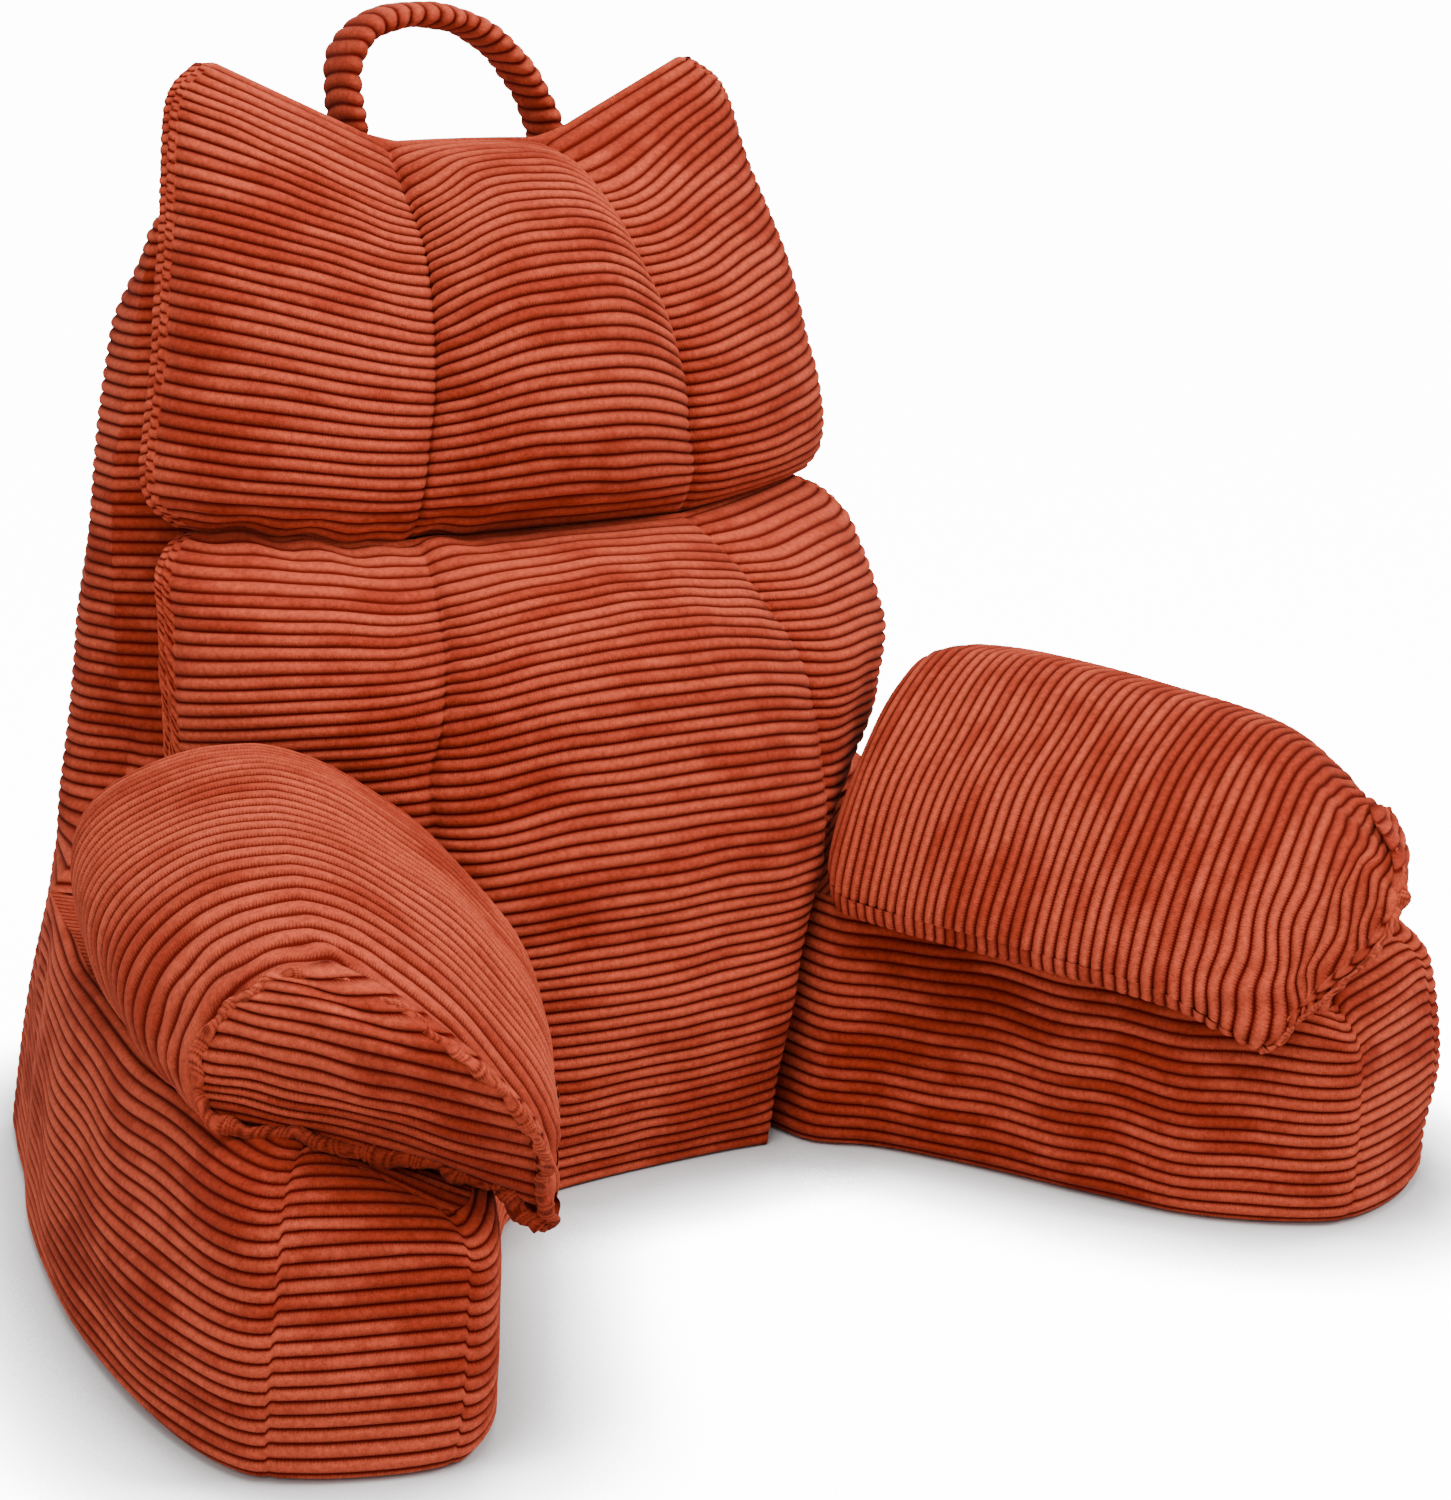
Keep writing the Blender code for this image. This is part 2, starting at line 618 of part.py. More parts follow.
def main():
    """Build every piece."""
    for old in list(bpy.data.objects):
        bpy.data.objects.remove(old)
    make_body(cloth("body_corduroy", RUST_DARK))
    make_cushion("head_cushion", HEAD_ROWS, False, cloth("head_corduroy", RUST))
    make_cushion("lumbar_cushion", LUMBAR_ROWS, True, cloth("lumbar_corduroy", RUST))
    make_pad("arm_pad_left", -1.0, cloth("left_pad_corduroy", RUST))
    make_pad("arm_pad_right", 1.0, cloth("right_pad_corduroy", RUST))
    make_handle(cloth("handle_corduroy", RUST_DARK))


main()
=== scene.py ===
"""A reading pillow with arms in rust-coloured wide-wale corduroy, dressed over its solids.

Metres, +Z up, and the pillow faces -Y. Every ribbed sheet of cloth is a grid of points.
Its columns run along the ribs, its rows lie across them, several rows to a wale. The
tables give the same forms that the solids have, in millimetres.
"""
from __future__ import annotations

import logging
import math
from dataclasses import dataclass
from enum import Enum

import bmesh
import bpy
import numpy as np
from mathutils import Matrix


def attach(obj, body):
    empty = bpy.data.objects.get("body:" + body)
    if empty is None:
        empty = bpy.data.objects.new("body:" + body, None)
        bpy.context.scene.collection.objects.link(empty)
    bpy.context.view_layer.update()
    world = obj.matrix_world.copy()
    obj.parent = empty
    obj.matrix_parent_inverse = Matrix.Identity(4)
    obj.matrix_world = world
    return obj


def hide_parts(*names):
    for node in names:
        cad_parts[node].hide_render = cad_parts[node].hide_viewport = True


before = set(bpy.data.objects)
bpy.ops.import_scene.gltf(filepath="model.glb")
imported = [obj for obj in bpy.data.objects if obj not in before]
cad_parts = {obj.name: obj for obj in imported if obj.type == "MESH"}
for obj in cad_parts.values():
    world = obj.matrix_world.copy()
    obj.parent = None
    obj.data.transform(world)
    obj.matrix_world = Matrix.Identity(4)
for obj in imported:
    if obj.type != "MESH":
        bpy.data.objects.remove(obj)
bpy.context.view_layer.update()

LOG = logging.getLogger("reading_pillow")
Array = np.ndarray
Colour = tuple[float, float, float, float]

MM = 0.001
TAU = 2.0 * math.pi
ROOT_BODY = "root"
NEARLY_NOTHING = 1e-12       # keeps a sum from dividing by nothing
WELD = 0.02 * MM             # points of a cloth nearer together than this become one

# ---- sizes that the pieces share, metres ----
WALE = 6.4 * MM              # pitch of the ribs
RIB_DEPTH = 2.1 * MM         # depth of the groove between two ribs
RIB_ROUND = 0.72             # roundness of a rib: 0.5 is a half circle, 1 a parabola
ROW_PULL = 0.07              # how far the rows of points are drawn to the grooves, wales
GAP = 1.0 * MM               # between a cushion's back and the body
SEAT_GAP = 0.4 * MM          # under a piece that is laid on another
PAD_LIFT = 1.3 * MM          # room under a pad
ARM_RISE = 146.0 * MM        # height of the arm bases where they leave the back
BODY_TOP = 490.0 * MM        # height of the body's flat top
TOP_ROUND = 24.0 * MM        # rounding of the body's top edge
TOP_FRONT_ROUND = 3.0 * MM   # and of its front edge, behind the head cushion
FOOT_ROUND = 9.0 * MM        # height of the rounding at the floor
FOOT_DEPTH = 0.7             # its depth, as a share of that height
FRONT_STRIP = 26.0 * MM      # ribbed strip of the body's front beside the cushions
FRONT_BEND = 2.5             # power of the curve of the body's hidden front
HEM = 7.0 * MM               # thickness of a cushion at its sewn edge
EDGE_SWELL = 62.0 * MM       # how fast a cushion thickens inwards from that edge
CROWN_FLAT = 2.2             # flatness of the middle of a channel's crown
CROWN_FULL = 0.62            # fullness of a channel beside its seams
EAR_CLEARANCE = 14.0 * MM    # an ear leans back only from this far over the body's top
CUSHION_REACH = 220.0 * MM   # from a cushion's middle to its edge, to measure from a seam
CALM_WALES = 5.0             # its ribs lie level at its ends and wander from this far in
PUCKER_REACH = 14.0 * MM     # how far the crease between the cushions draws them
BRAID_INSET = 5.0 * MM       # the front panel ends this far short of a cushion's edge
BRAID_ROOM = 2.5 * MM        # and the braid's bumps take this much beyond it
BRAID_STITCH = 4.9 * MM      # pitch of those bumps
PAD_COLUMN = 2.6 * MM        # usual distance between the columns round a pad
SEAM_PUCKER = 7.0 * MM       # pitch of the puckers in the seam round a pad's end
PANEL_WALE = 1.35 * WALE     # pitch of the end panel's ribs, measured up its slope
RIPPLE_WAVES = 6             # plain waves that make an uneven one

# height | ridge x, y | side x, y | quarter x, y | rear corner x, y | rear x, y | middle y
BACK_SECTIONS = [
    (0, 280, 115, 264, 168, 243, 218, 188, 262, 102, 284, 292),
    (70, 270, 118, 252, 168, 232, 216, 180, 259, 99, 281, 290),
    (146, 252, 130, 233, 173, 214, 214, 167, 254, 94, 277, 287),
    (187, 204, 148, 220, 180, 208, 214, 160, 252, 90, 276, 285),
    (250, 203, 150, 211, 182, 196, 214, 152, 251, 86, 274, 284),
    (337, 202, 150, 200, 180, 185, 211, 145, 247, 82, 270, 281),
    (421, 186, 152, 185, 180, 169, 211, 132, 244, 76, 265, 275),
    (467, 174, 153, 163, 179, 148, 207, 118, 238, 67, 258, 267),
    (490, 168, 153, 156, 180, 141, 206, 112, 235, 64, 255, 264),
]
# floor x, y | top x, y, height | belly | tuck of the left arm's wall at the floor
ARM_OUTLINE = [
    (280, 115, 252, 130, 146, 0, 0),
    (304, 45, 281, 45, 146, 3, 0),
    (323, -38, 302, -38, 145, 6, 0),
    (335, -122, 316, -122, 143, 8, 0),
    (337, -199, 322, -200, 140, 9, 0),
    (329, -243, 318, -249, 137, 9, 0),
    (311, -263, 297, -261, 131, 7, 0),
    (287, -277, 275, -273, 124, 5, 0),
    (258, -285, 250, -284, 115, 5, 4),
    (234, -283, 231, -291, 107, 4, 8),
    (203, -262, 210, -263, 109, 3, 16),
    (178, -232, 189, -232, 112, 3, 24),
    (160, -192, 170, -190, 115, 3, 22),
    (143, -148, 155, -146, 118, 2, 14),
    (126, -108, 140, -106, 120, 2, 5),
    (108, -74, 123, -70, 122, 1, 0),
    (84, -48, 109, -42, 124, 0, 0),
    (78, 0, 107, 21, 124, 0, 0),
    (60, 14, 80, 27, 124, 0, 0),
    (0, 16, 0, 25, 124, 0, 0),
]
ARM_TOP_XY = [2, 3]          # the columns of that table that give the top's plan
TOP_TUCK = 0.6               # share of the tuck that is left at the top of the wall
END_ROUND_UP = 16.0 * MM     # rounding that an arm's end adds to its edge, upwards
END_ROUND_IN = 30.0 * MM     # and inwards
END_ROUND_MOST = 26.0 * MM   # and the most that it has upwards
SEAM_WIDTH = 2.6 * MM        # reach of the end panel's sunk seams
SEAM_DEPTH = 1.4 * MM        # and their depth
ARM_TOP_LENGTH = 420.0 * MM  # of the top of an arm base, along its middle
LEDGE_ROWS = 60              # rows of points on the ledge behind the lumbar cushion
BODY_TOP_ROWS = 129          # and on the body's flat top
PANEL_TIP = 7                # outline row at the middle of the end panel
INNER_CORNER = 9             # and at its inner corner
LEDGE_START = 17             # and where the ledge behind the lumbar cushion starts
OUTER_SEAM = 5.5             # place along the outline of the end panel's outer seam
INNER_SEAM = 8.6             # and of its inner seam
# weight of an arm's rounded end: place along the outline | weight
ARM_END = [(3.6, 0.0), (5.4, 1.0), (8.6, 1.0), (9.8, 0.0)]
# the body's hidden front: height | y at the middle | y at the side
FRONT_FACE = [
    (146, 26, 130),
    (187, 38, 148),
    (250, 66, 150),
    (316, 96, 150),
    (393, 112, 151),
    (441, 130, 152),
    (490, 151, 153),
]
# seam x, y, z | edge x, y, z | crown of the middle channel | its ribs' rise | side puff
HEAD_ROWS = [
    (46, 143, 505, 147, 152, 550, 0, 3, 0),
    (50, 129, 496, 161, 148, 540, 14, 10, 9),
    (53, 114, 485, 168, 145, 526, 24, 15, 16),
    (56, 91, 464, 174, 138, 494, 31, 17, 22),
    (61, 72, 441, 180, 129, 466, 34, 16, 24),
    (66, 59, 417, 187, 121, 438, 35, 14, 25),
    (70, 52, 393, 192, 116, 409, 35, 11, 26),
    (74, 50, 369, 198, 113, 381, 34, 8, 26),
    (78, 51, 344, 203, 110, 354, 28, 4, 22),
    (79, 55, 330, 200, 106, 338, 18, 2, 14),
    (80, 63, 319, 188, 104, 327, 5, 0, 4),
]
LUMBAR_ROWS = [
    (80, 58, 316, 184, 105, 324, 5, 0, 4),
    (81, 44, 308, 197, 98, 317, 20, 5, 13),
    (86, 26, 295, 206, 89, 305, 30, 7, 20),
    (91, 12, 282, 207, 84, 292, 33, 8, 24),
    (95, 0, 269, 209, 79, 279, 35, 9, 23),
    (100, -8, 256, 211, 76, 265, 36, 9, 22),
    (104, -13, 242, 212, 72, 252, 36, 8, 21),
    (108, -14, 228, 212, 71, 238, 36, 7, 18),
    (112, -15, 214, 211, 72, 225, 36, 6, 14),
    (113, -20, 180, 210, 75, 196, 34, 3, 8),
    (109, -26, 150, 176, 60, 167, 30, 0, 2),
    (106, -27, 138, 146, 34, 152, 28, 0, 1),
    (98, -30, 122, 110, -4, 132, 24, -2, 1),
    (84, -38, 80, 91, -12, 82, 15, -3, 1),
    (74, -40, 40, 80, -12, 40, 6, -2, 1),
    (67, -39, 0, 73, -12, 0, -6, 0, 0),
]
# ridge x, y, z | inner edge reach, thickness | outer side reach, height | splay, degrees |
# how far the flap's lip hangs under the plane of the arm's top
PAD_ROWS = [
    (195, 11, 244, -117, 10, 85, 193, 26, -3),
    (218, -49, 245, -124, 10, 86, 193, 24, -5),
    (242, -115, 238, -120, 10, 82, 186, 22, -3),
    (265, -180, 228, -110, 10, 70, 176, 22, 3),
    (286, -245, 209, -93, 9, 50, 157, 26, 17),
]
# how far ahead of the end section its seam lies, from the flap's lip up the inner flank
# to the crest: share of the height | distance
FLANK_AHEAD = [
    (0.0, -18), (0.1, -4), (0.22, 15), (0.45, 39), (0.62, 44), (0.76, 41), (0.88, 26), (1.0, 3),
]
# and from the crest round the outer side and back under the pad: share | distance
SIDE_AHEAD = [(0.0, 3), (0.25, -8), (0.5, -8), (0.75, -4), (1.0, -18)]
# how heavy the puckered seam round an end is: share of the way round | weight
SEAM_BELOW = [
    (0.0, 0.8), (0.06, 0.45), (0.32, 0.1), (0.55, 0.35),
    (0.68, 0.7), (0.8, 1.0), (0.94, 1.0), (1.0, 0.8),
]
SEAM_AHEAD = (0.55, -0.8, 0.1)    # which way that seam juts out
# centre line of the carry loop: x, height
HANDLE_LINE = [
    (-53, 490),
    (-54, 511),
    (-57, 532),
    (-56, 550),
    (-47, 563),
    (-35, 569),
    (-19, 572),
    (0, 571),
    (17, 566),
    (33, 556),
    (47, 541),
    (57, 525),
    (63, 508),
    (64, 490),
]


class Crown(Enum):
    """Where the crowns of the ribs lie on a sheet's count of wales."""

    ON_THE_COUNT = 0.0
    BETWEEN_COUNTS = 0.5


class Hand(Enum):
    """Which side of the pillow a piece is on, as seen from the front."""

    LEFT = -1.0
    RIGHT = 1.0

    @property
    def word(self) -> str:
        """The side's name in lower case."""
        return self.name.lower()


# ---- curves and waves ----
def clamp(value: object) -> Array:
    """A value held between 0 and 1."""
    return np.clip(value, 0.0, 1.0)


def unit(vectors: Array, least: float = 0.0) -> Array:
    """Vectors scaled to length 1; a length under the least one counts as that."""
    return vectors / np.maximum(np.linalg.norm(vectors, axis=-1, keepdims=True), least)


def run_of(points: Array) -> Array:
    """Distance along a chain of points from its first one."""
    return np.concatenate([[0.0], np.cumsum(np.linalg.norm(np.diff(points, axis=0), axis=1))])


def rail(table: object, positions: object) -> Array:
    """Read a smooth curve through a table's rows.

    Args:
        table: The rows, as a sequence or an array.
        positions: Places counted in rows, an array of any shape.

    Returns:
        An array of that shape with the table's columns as its last axis.
    """
    rows = np.asarray(table, dtype=float)
    places = np.asarray(positions, dtype=float)
    last = len(rows) - 1
    k = np.clip(places.astype(int), 0, last - 1)
    t = (places - k)[..., None]
    start, end = rows[k], rows[k + 1]
    before, after = rows[np.maximum(k - 1, 0)], rows[np.minimum(k + 2, last)]
    slope_start = np.where((k > 0)[..., None], 0.5 * (end - before), end - start)
    slope_end = np.where((k + 1 < last)[..., None], 0.5 * (after - start), end - start)
    ease = t * t * (3.0 - 2.0 * t)
    bend = slope_start * t * (1.0 - t) ** 2 - slope_end * t * t * (1.0 - t)
    return start + (end - start) * ease + bend


class Ruler:
    """Finds places in a table by the length of the curve through some of its columns."""

    def __init__(self, table: object, columns: list[int]) -> None:
        """Measure the curve.

        Args:
            table: The rows, in millimetres.
            columns: The columns that are the curve's coordinates.
        """
        self.fine = np.linspace(0.0, len(table) - 1.0, 40 * len(table))
        self.run = run_of(rail(table, self.fine)[:, columns])

    @property
    def length(self) -> float:
        """Length of the whole curve in metres."""
        return float(self.run[-1]) * MM

    def at(self, share: object) -> Array:
        """Places in rows at shares of the length."""
        return np.interp(np.asarray(share) * self.run[-1], self.run, self.fine)

    def share_of(self, place: object) -> Array:
        """Shares of the length at places in rows."""
        return np.interp(place, self.fine, self.run) / self.run[-1]


def wale_count(length: float) -> int:
    """Number of whole wales on a length in metres."""
    return int(round(length / WALE))


def wale_rows(count: int, crown: Crown, steps: int = 8) -> Array:
    """Places of the rows of points on a number of wales, closer together at the grooves.

    Args:
        count: Number of wales.
        crown: Where the crowns lie.
        steps: Rows of points to a wale.

    Returns:
        Places from 0 to the count.
    """
    even = np.arange(count * steps + 1) / steps
    pull = ROW_PULL * np.sin(TAU * even)
    return even + (pull if crown is Crown.ON_THE_COUNT else -pull)


def rib_height(places: Array, crown: Crown) -> Array:
    """Height of the ribs at places across them: 1 on a crown and 0 in a groove."""
    off = np.abs((places + crown.value + 0.5) % 1.0 - 0.5) * 2.0
    return (1.0 - np.minimum(off, 1.0) ** 2.0) ** RIB_ROUND


def groove_depth(places: Array, crown: Crown = Crown.ON_THE_COUNT) -> Array:
    """How far the cloth lies under the ribs' crowns at places across them, metres."""
    return RIB_DEPTH * (1.0 - rib_height(places, crown))


def ripple(first: object, second: object, wavelength: float, seed: int) -> Array:
    """A smooth uneven wave, the same on every run.

    Args:
        first: One coordinate, metres.
        second: The other, metres.
        wavelength: Typical distance between crests, metres.
        seed: Picks the wave.

    Returns:
        Values mostly between -1 and 1.
    """
    draw = np.random.default_rng(seed)
    total = 0.0
    for _ in range(RIPPLE_WAVES):
        turn, start = draw.uniform(0.0, TAU, 2)
        number = TAU / (wavelength * draw.uniform(0.7, 1.5))
        place = np.asarray(first) * math.cos(turn) + np.asarray(second) * math.sin(turn)
        total = total + np.sin(number * place + start)
    return total / (0.5 * RIPPLE_WAVES)


def ripples(
    first: object, second: object, waves: tuple[tuple[float, float], ...], seed: int
) -> Array:
    """A sum of uneven waves.

    Args:
        first: One coordinate, metres.
        second: The other, metres.
        waves: The size and the typical length of each.
        seed: Picks the first wave; the next ones follow it.

    Returns:
        Values mostly within the sum of the sizes.
    """
    return sum(
        size * ripple(first, second, length, seed + k) for k, (size, length) in enumerate(waves)
    )


def quarter_round(distance: object, radius: float) -> Array:
    """Share of full size at a distance from a rounded end."""
    rest = clamp(1.0 - np.asarray(distance) / radius)
    return np.sqrt(1.0 - rest ** 2)


def fade(distance: object, width: float) -> Array:
    """Weight that falls from 1 at no distance to 0 within about two widths."""
    return np.exp(-(np.asarray(distance) / width) ** 2)


def runs_along(points: Array) -> Array:
    """Distance along each row of a grid of points from its first column."""
    steps = np.linalg.norm(np.diff(points, axis=1), axis=2)
    return np.concatenate([np.zeros((len(points), 1)), np.cumsum(steps, axis=1)], axis=1)


def outward(points: Array, sign: float) -> Array:
    """Unit normals of a grid of points; the sign picks the side."""
    normals = np.cross(np.gradient(points, axis=0), np.gradient(points, axis=1))
    return sign * unit(normals, NEARLY_NOTHING)


def resample(chain: Array, shares: Array) -> Array:
    """Points on a chain of straight pieces at shares of its length."""
    run = run_of(chain)
    return np.stack([np.interp(shares * run[-1], run, chain[:, k]) for k in range(3)], axis=1)


# ---- cloth meshes ----
class Cloth:
    """Sheets of cloth sewn into one mesh, mapped by metres along and wales across."""

    def __init__(self) -> None:
        """Start with nothing cut."""
        self.points: list[Array] = []
        self.maps: list[Array] = []
        self.faces: list[tuple[int, ...]] = []
        self.count = 0

    def sheet(self, points: Array, along: Array, wales: Array, flip: bool = False) -> Array:
        """Add a grid of points.

        Args:
            points: The grid, rows by columns by 3.
            along: Metres along the ribs, rows by columns.
            wales: Wales across the ribs, crowns on whole numbers, rows by columns.
            flip: Turn the faces over.

        Returns:
            The grid of the points' indices.
        """
        rows, columns = points.shape[:2]
        index = self.count + np.arange(rows * columns).reshape(rows, columns)
        self.count += rows * columns
        self.points.append(points.reshape(-1, 3))
        wide = np.broadcast_to(wales, (rows, columns))
        self.maps.append(np.stack([along, wide], axis=2).reshape(-1, 2))
        corners = [index[:-1, :-1], index[1:, :-1], index[1:, 1:], index[:-1, 1:]]
        if flip:
            corners.reverse()
        self.faces.extend(map(tuple, np.stack(corners, axis=-1).reshape(-1, 4).tolist()))
        return index

    def zip_up(self, first: Array, second: Array) -> None:
        """Sew two chains of indices together with triangles, however many each has."""
        i = j = 0
        while i < len(first) - 1 or j < len(second) - 1:
            ahead_first = (i + 1) / max(len(first) - 1, 1)
            ahead_second = (j + 1) / max(len(second) - 1, 1)
            if j >= len(second) - 1 or (i < len(first) - 1 and ahead_first <= ahead_second):
                self.faces.append((int(first[i]), int(second[j]), int(first[i + 1])))
                i += 1
            else:
                self.faces.append((int(first[i]), int(second[j]), int(second[j + 1])))
                j += 1

    def close(self, ring: Array, flip: bool = False) -> None:
        """Close a ring of indices with one flat face."""
        loop = [int(i) for i in ring]
        self.faces.append(tuple(reversed(loop)) if flip else tuple(loop))

    def sew(self, name: str, material: bpy.types.Material) -> bpy.types.Object:
        """Turn the sheets into one object whose shared edges are welded.

        Args:
            name: The piece's name.
            material: What it is made of.

        Returns:
            The new object.
        """
        points, maps = np.concatenate(self.points), np.concatenate(self.maps)
        mesh = bpy.data.meshes.new(name)
        mesh.from_pydata(points.tolist(), [], self.faces)
        layer = mesh.uv_layers.new(name="cloth")
        corner = np.empty(len(mesh.loops), dtype=np.int32)
        mesh.loops.foreach_get("vertex_index", corner)
        layer.data.foreach_set("uv", maps[corner].astype(np.float32).ravel())
        bm = bmesh.new()
        bm.from_mesh(mesh)
        bmesh.ops.remove_doubles(bm, verts=bm.verts[:], dist=WELD)
        bmesh.ops.recalc_face_normals(bm, faces=bm.faces[:])
        bm.to_mesh(mesh)
        bm.free()
        mesh.shade_smooth()
        mesh.materials.append(material)
        piece = bpy.data.objects.new(name, mesh)
        bpy.context.collection.objects.link(piece)
        return piece


# ---- finishes ----
NOTCH_PITCH = 1.5 * MM       # between the fine notches across a rib
# the pile's noises; their scales count waves to a metre
WANDER_NOISE = {"Scale": 260.0, "Detail": 1.0}
PATCH_NOISE = {"Scale": 13.0, "Detail": 4.0, "Roughness": 0.62}
STREAK_NOISE = {"Scale": 1.0, "Detail": 2.0}
NAP_NOISE = {"Scale": 1300.0, "Detail": 2.0}
FLECK_NOISE = {"Scale": 420.0, "Detail": 3.0}


class NodeSheet:
    """Adds nodes to a tree and links them, left to right."""

    def __init__(self, tree: bpy.types.NodeTree) -> None:
        """Keep the tree that the nodes go into."""
        self.tree = tree
        self.column = 0

    def add(
        self, kind: str, inputs: dict[object, object] | None = None, **settings: object,
    ) -> bpy.types.Node:
        """Add a node.

        Args:
            kind: The node's Blender type.
            inputs: Values or sockets for its inputs, by name or number.
            settings: Its properties.

        Returns:
            The node.
        """
        node = self.tree.nodes.new(kind)
        node.location = (self.column * 180.0, 0.0)
        self.column += 1
        for key, value in settings.items():
            setattr(node, key, value)
        for key, value in (inputs or {}).items():
            if isinstance(value, bpy.types.NodeSocket):
                self.tree.links.new(value, node.inputs[key])
            else:
                node.inputs[key].default_value = value
        return node

    def math(self, operation: str, *values: object) -> bpy.types.NodeSocket:
        """The result of one sum on values or sockets."""
        node = self.add("ShaderNodeMath", dict(enumerate(values)), operation=operation)
        return node.outputs[0]

    def ramp(self, value: object, low: float, high: float) -> bpy.types.NodeSocket:
        """A value that eases from 0 to 1 between two limits."""
        limits = {"Value": value, "From Min": low, "From Max": high, "To Min": 0.0, "To Max": 1.0}
        return self.add("ShaderNodeMapRange", limits, interpolation_type="SMOOTHSTEP").outputs[0]

    def noise(self, place: object, look: dict[str, float]) -> bpy.types.NodeSocket:
        """The value of a noise with a certain look at a place."""
        return self.add("ShaderNodeTexNoise", {"Vector": place, **look}).outputs[0]

    def mix(self, share: object, first: object, second: object) -> bpy.types.NodeSocket:
        """A colour between two colours."""
        node = self.add("ShaderNodeMix", data_type="RGBA")
        for number, value in ((0, share), (6, first), (7, second)):
            if isinstance(value, bpy.types.NodeSocket):
                self.tree.links.new(value, node.inputs[number])
            else:
                node.inputs[number].default_value = value
        return node.outputs[2]


# what goes into the pile's node group and comes out of it
PILE_SOCKETS = [
    ("Map", "INPUT", "NodeSocketVector"),
    ("Crown Colour", "INPUT", "NodeSocketColor"),
    ("Groove Colour", "INPUT", "NodeSocketColor"),
    ("Brushed Colour", "INPUT", "NodeSocketColor"),
    ("Brushed Share", "INPUT", "NodeSocketFloat"),
    ("Notches", "INPUT", "NodeSocketFloat"),
    ("Colour", "OUTPUT", "NodeSocketColor"),
    ("Height", "OUTPUT", "NodeSocketFloat"),
]


def pile_group() -> bpy.types.NodeTree:
    """The node group of corduroy pile: painted shade in the grooves and down the ribs' flanks,
    brushed patches, notches and nap.

    Returns:
        The group, with a colour and a height as its outputs.
    """
    name = "corduroy pile"
    if name in bpy.data.node_groups:
        return bpy.data.node_groups[name]
    tree = bpy.data.node_groups.new(name, "ShaderNodeTree")
    for label, way, kind in PILE_SOCKETS:
        tree.interface.new_socket(name=label, in_out=way, socket_type=kind)
    sheet = NodeSheet(tree)
    given = sheet.add("NodeGroupInput").outputs
    place = sheet.add("ShaderNodeSeparateXYZ", {0: given["Map"]}).outputs
    solid = sheet.add("ShaderNodeTexCoord").outputs["Object"]

    turn = sheet.math("FRACT", sheet.math("ADD", place["Y"], 0.5))
    off = sheet.math("MULTIPLY", sheet.math("ABSOLUTE", sheet.math("SUBTRACT", turn, 0.5)), 2.0)
    # painted shade: groove is where the grooves between the ribs are darkened
    groove = sheet.ramp(off, 0.62, 0.98)
    # painted shade: flank is where the ribs' sloping sides are darkened
    flank = sheet.ramp(off, 0.2, 0.95)

    wander = sheet.noise(solid, WANDER_NOISE)
    shift = sheet.math("MULTIPLY", wander, 9.0)
    beat = sheet.math("MULTIPLY_ADD", place["X"], TAU / NOTCH_PITCH, shift)
    notch = sheet.ramp(sheet.math("SINE", beat), 0.1, 1.0)
    notch = sheet.math("MULTIPLY", sheet.math("MULTIPLY", notch, flank), given["Notches"])

    patches = sheet.noise(solid, PATCH_NOISE)
    rib = sheet.math("ROUND", place["Y"])
    stretch = {
        "X": sheet.math("MULTIPLY", place["X"], 14.0),
        "Y": sheet.math("MULTIPLY", rib, 3.71),
    }
    streak = sheet.noise(sheet.add("ShaderNodeCombineXYZ", stretch).outputs[0], STREAK_NOISE)
    brushed = sheet.math("MULTIPLY_ADD", streak, 0.55, sheet.math("MULTIPLY", patches, 0.75))
    brushed = sheet.math("MULTIPLY", sheet.ramp(brushed, 0.56, 0.78), given["Brushed Share"])

    nap = sheet.noise(solid, NAP_NOISE)
    fleck = sheet.noise(solid, FLECK_NOISE)

    # the crown colour is the cloth's own red with a pale painted sheen mixed in
    colour = sheet.mix(brushed, given["Crown Colour"], given["Brushed Colour"])
    grain = sheet.math("MULTIPLY_ADD", nap, 0.7, sheet.math("MULTIPLY_ADD", fleck, 1.0, 0.15))
    shade = sheet.math("MULTIPLY", grain, sheet.math("MULTIPLY_ADD", notch, -0.38, 1.0))
    # painted shade down the ribs' flanks
    shade = sheet.math("MULTIPLY", shade, sheet.math("MULTIPLY_ADD", flank, -0.34, 1.0))
    tinted = sheet.add("ShaderNodeVectorMath", {0: colour}, operation="SCALE")
    tree.links.new(shade, tinted.inputs["Scale"])
    # painted shade in the grooves, in the groove colour
    colour = sheet.mix(groove, tinted.outputs[0], given["Groove Colour"])
    height = sheet.math("MULTIPLY_ADD", nap, 0.6, sheet.math("MULTIPLY", fleck, 0.5))
    height = sheet.math("SUBTRACT", height, sheet.math("MULTIPLY", notch, 1.1))
    sheet.add("NodeGroupOutput", {"Colour": colour, "Height": height})
    return tree


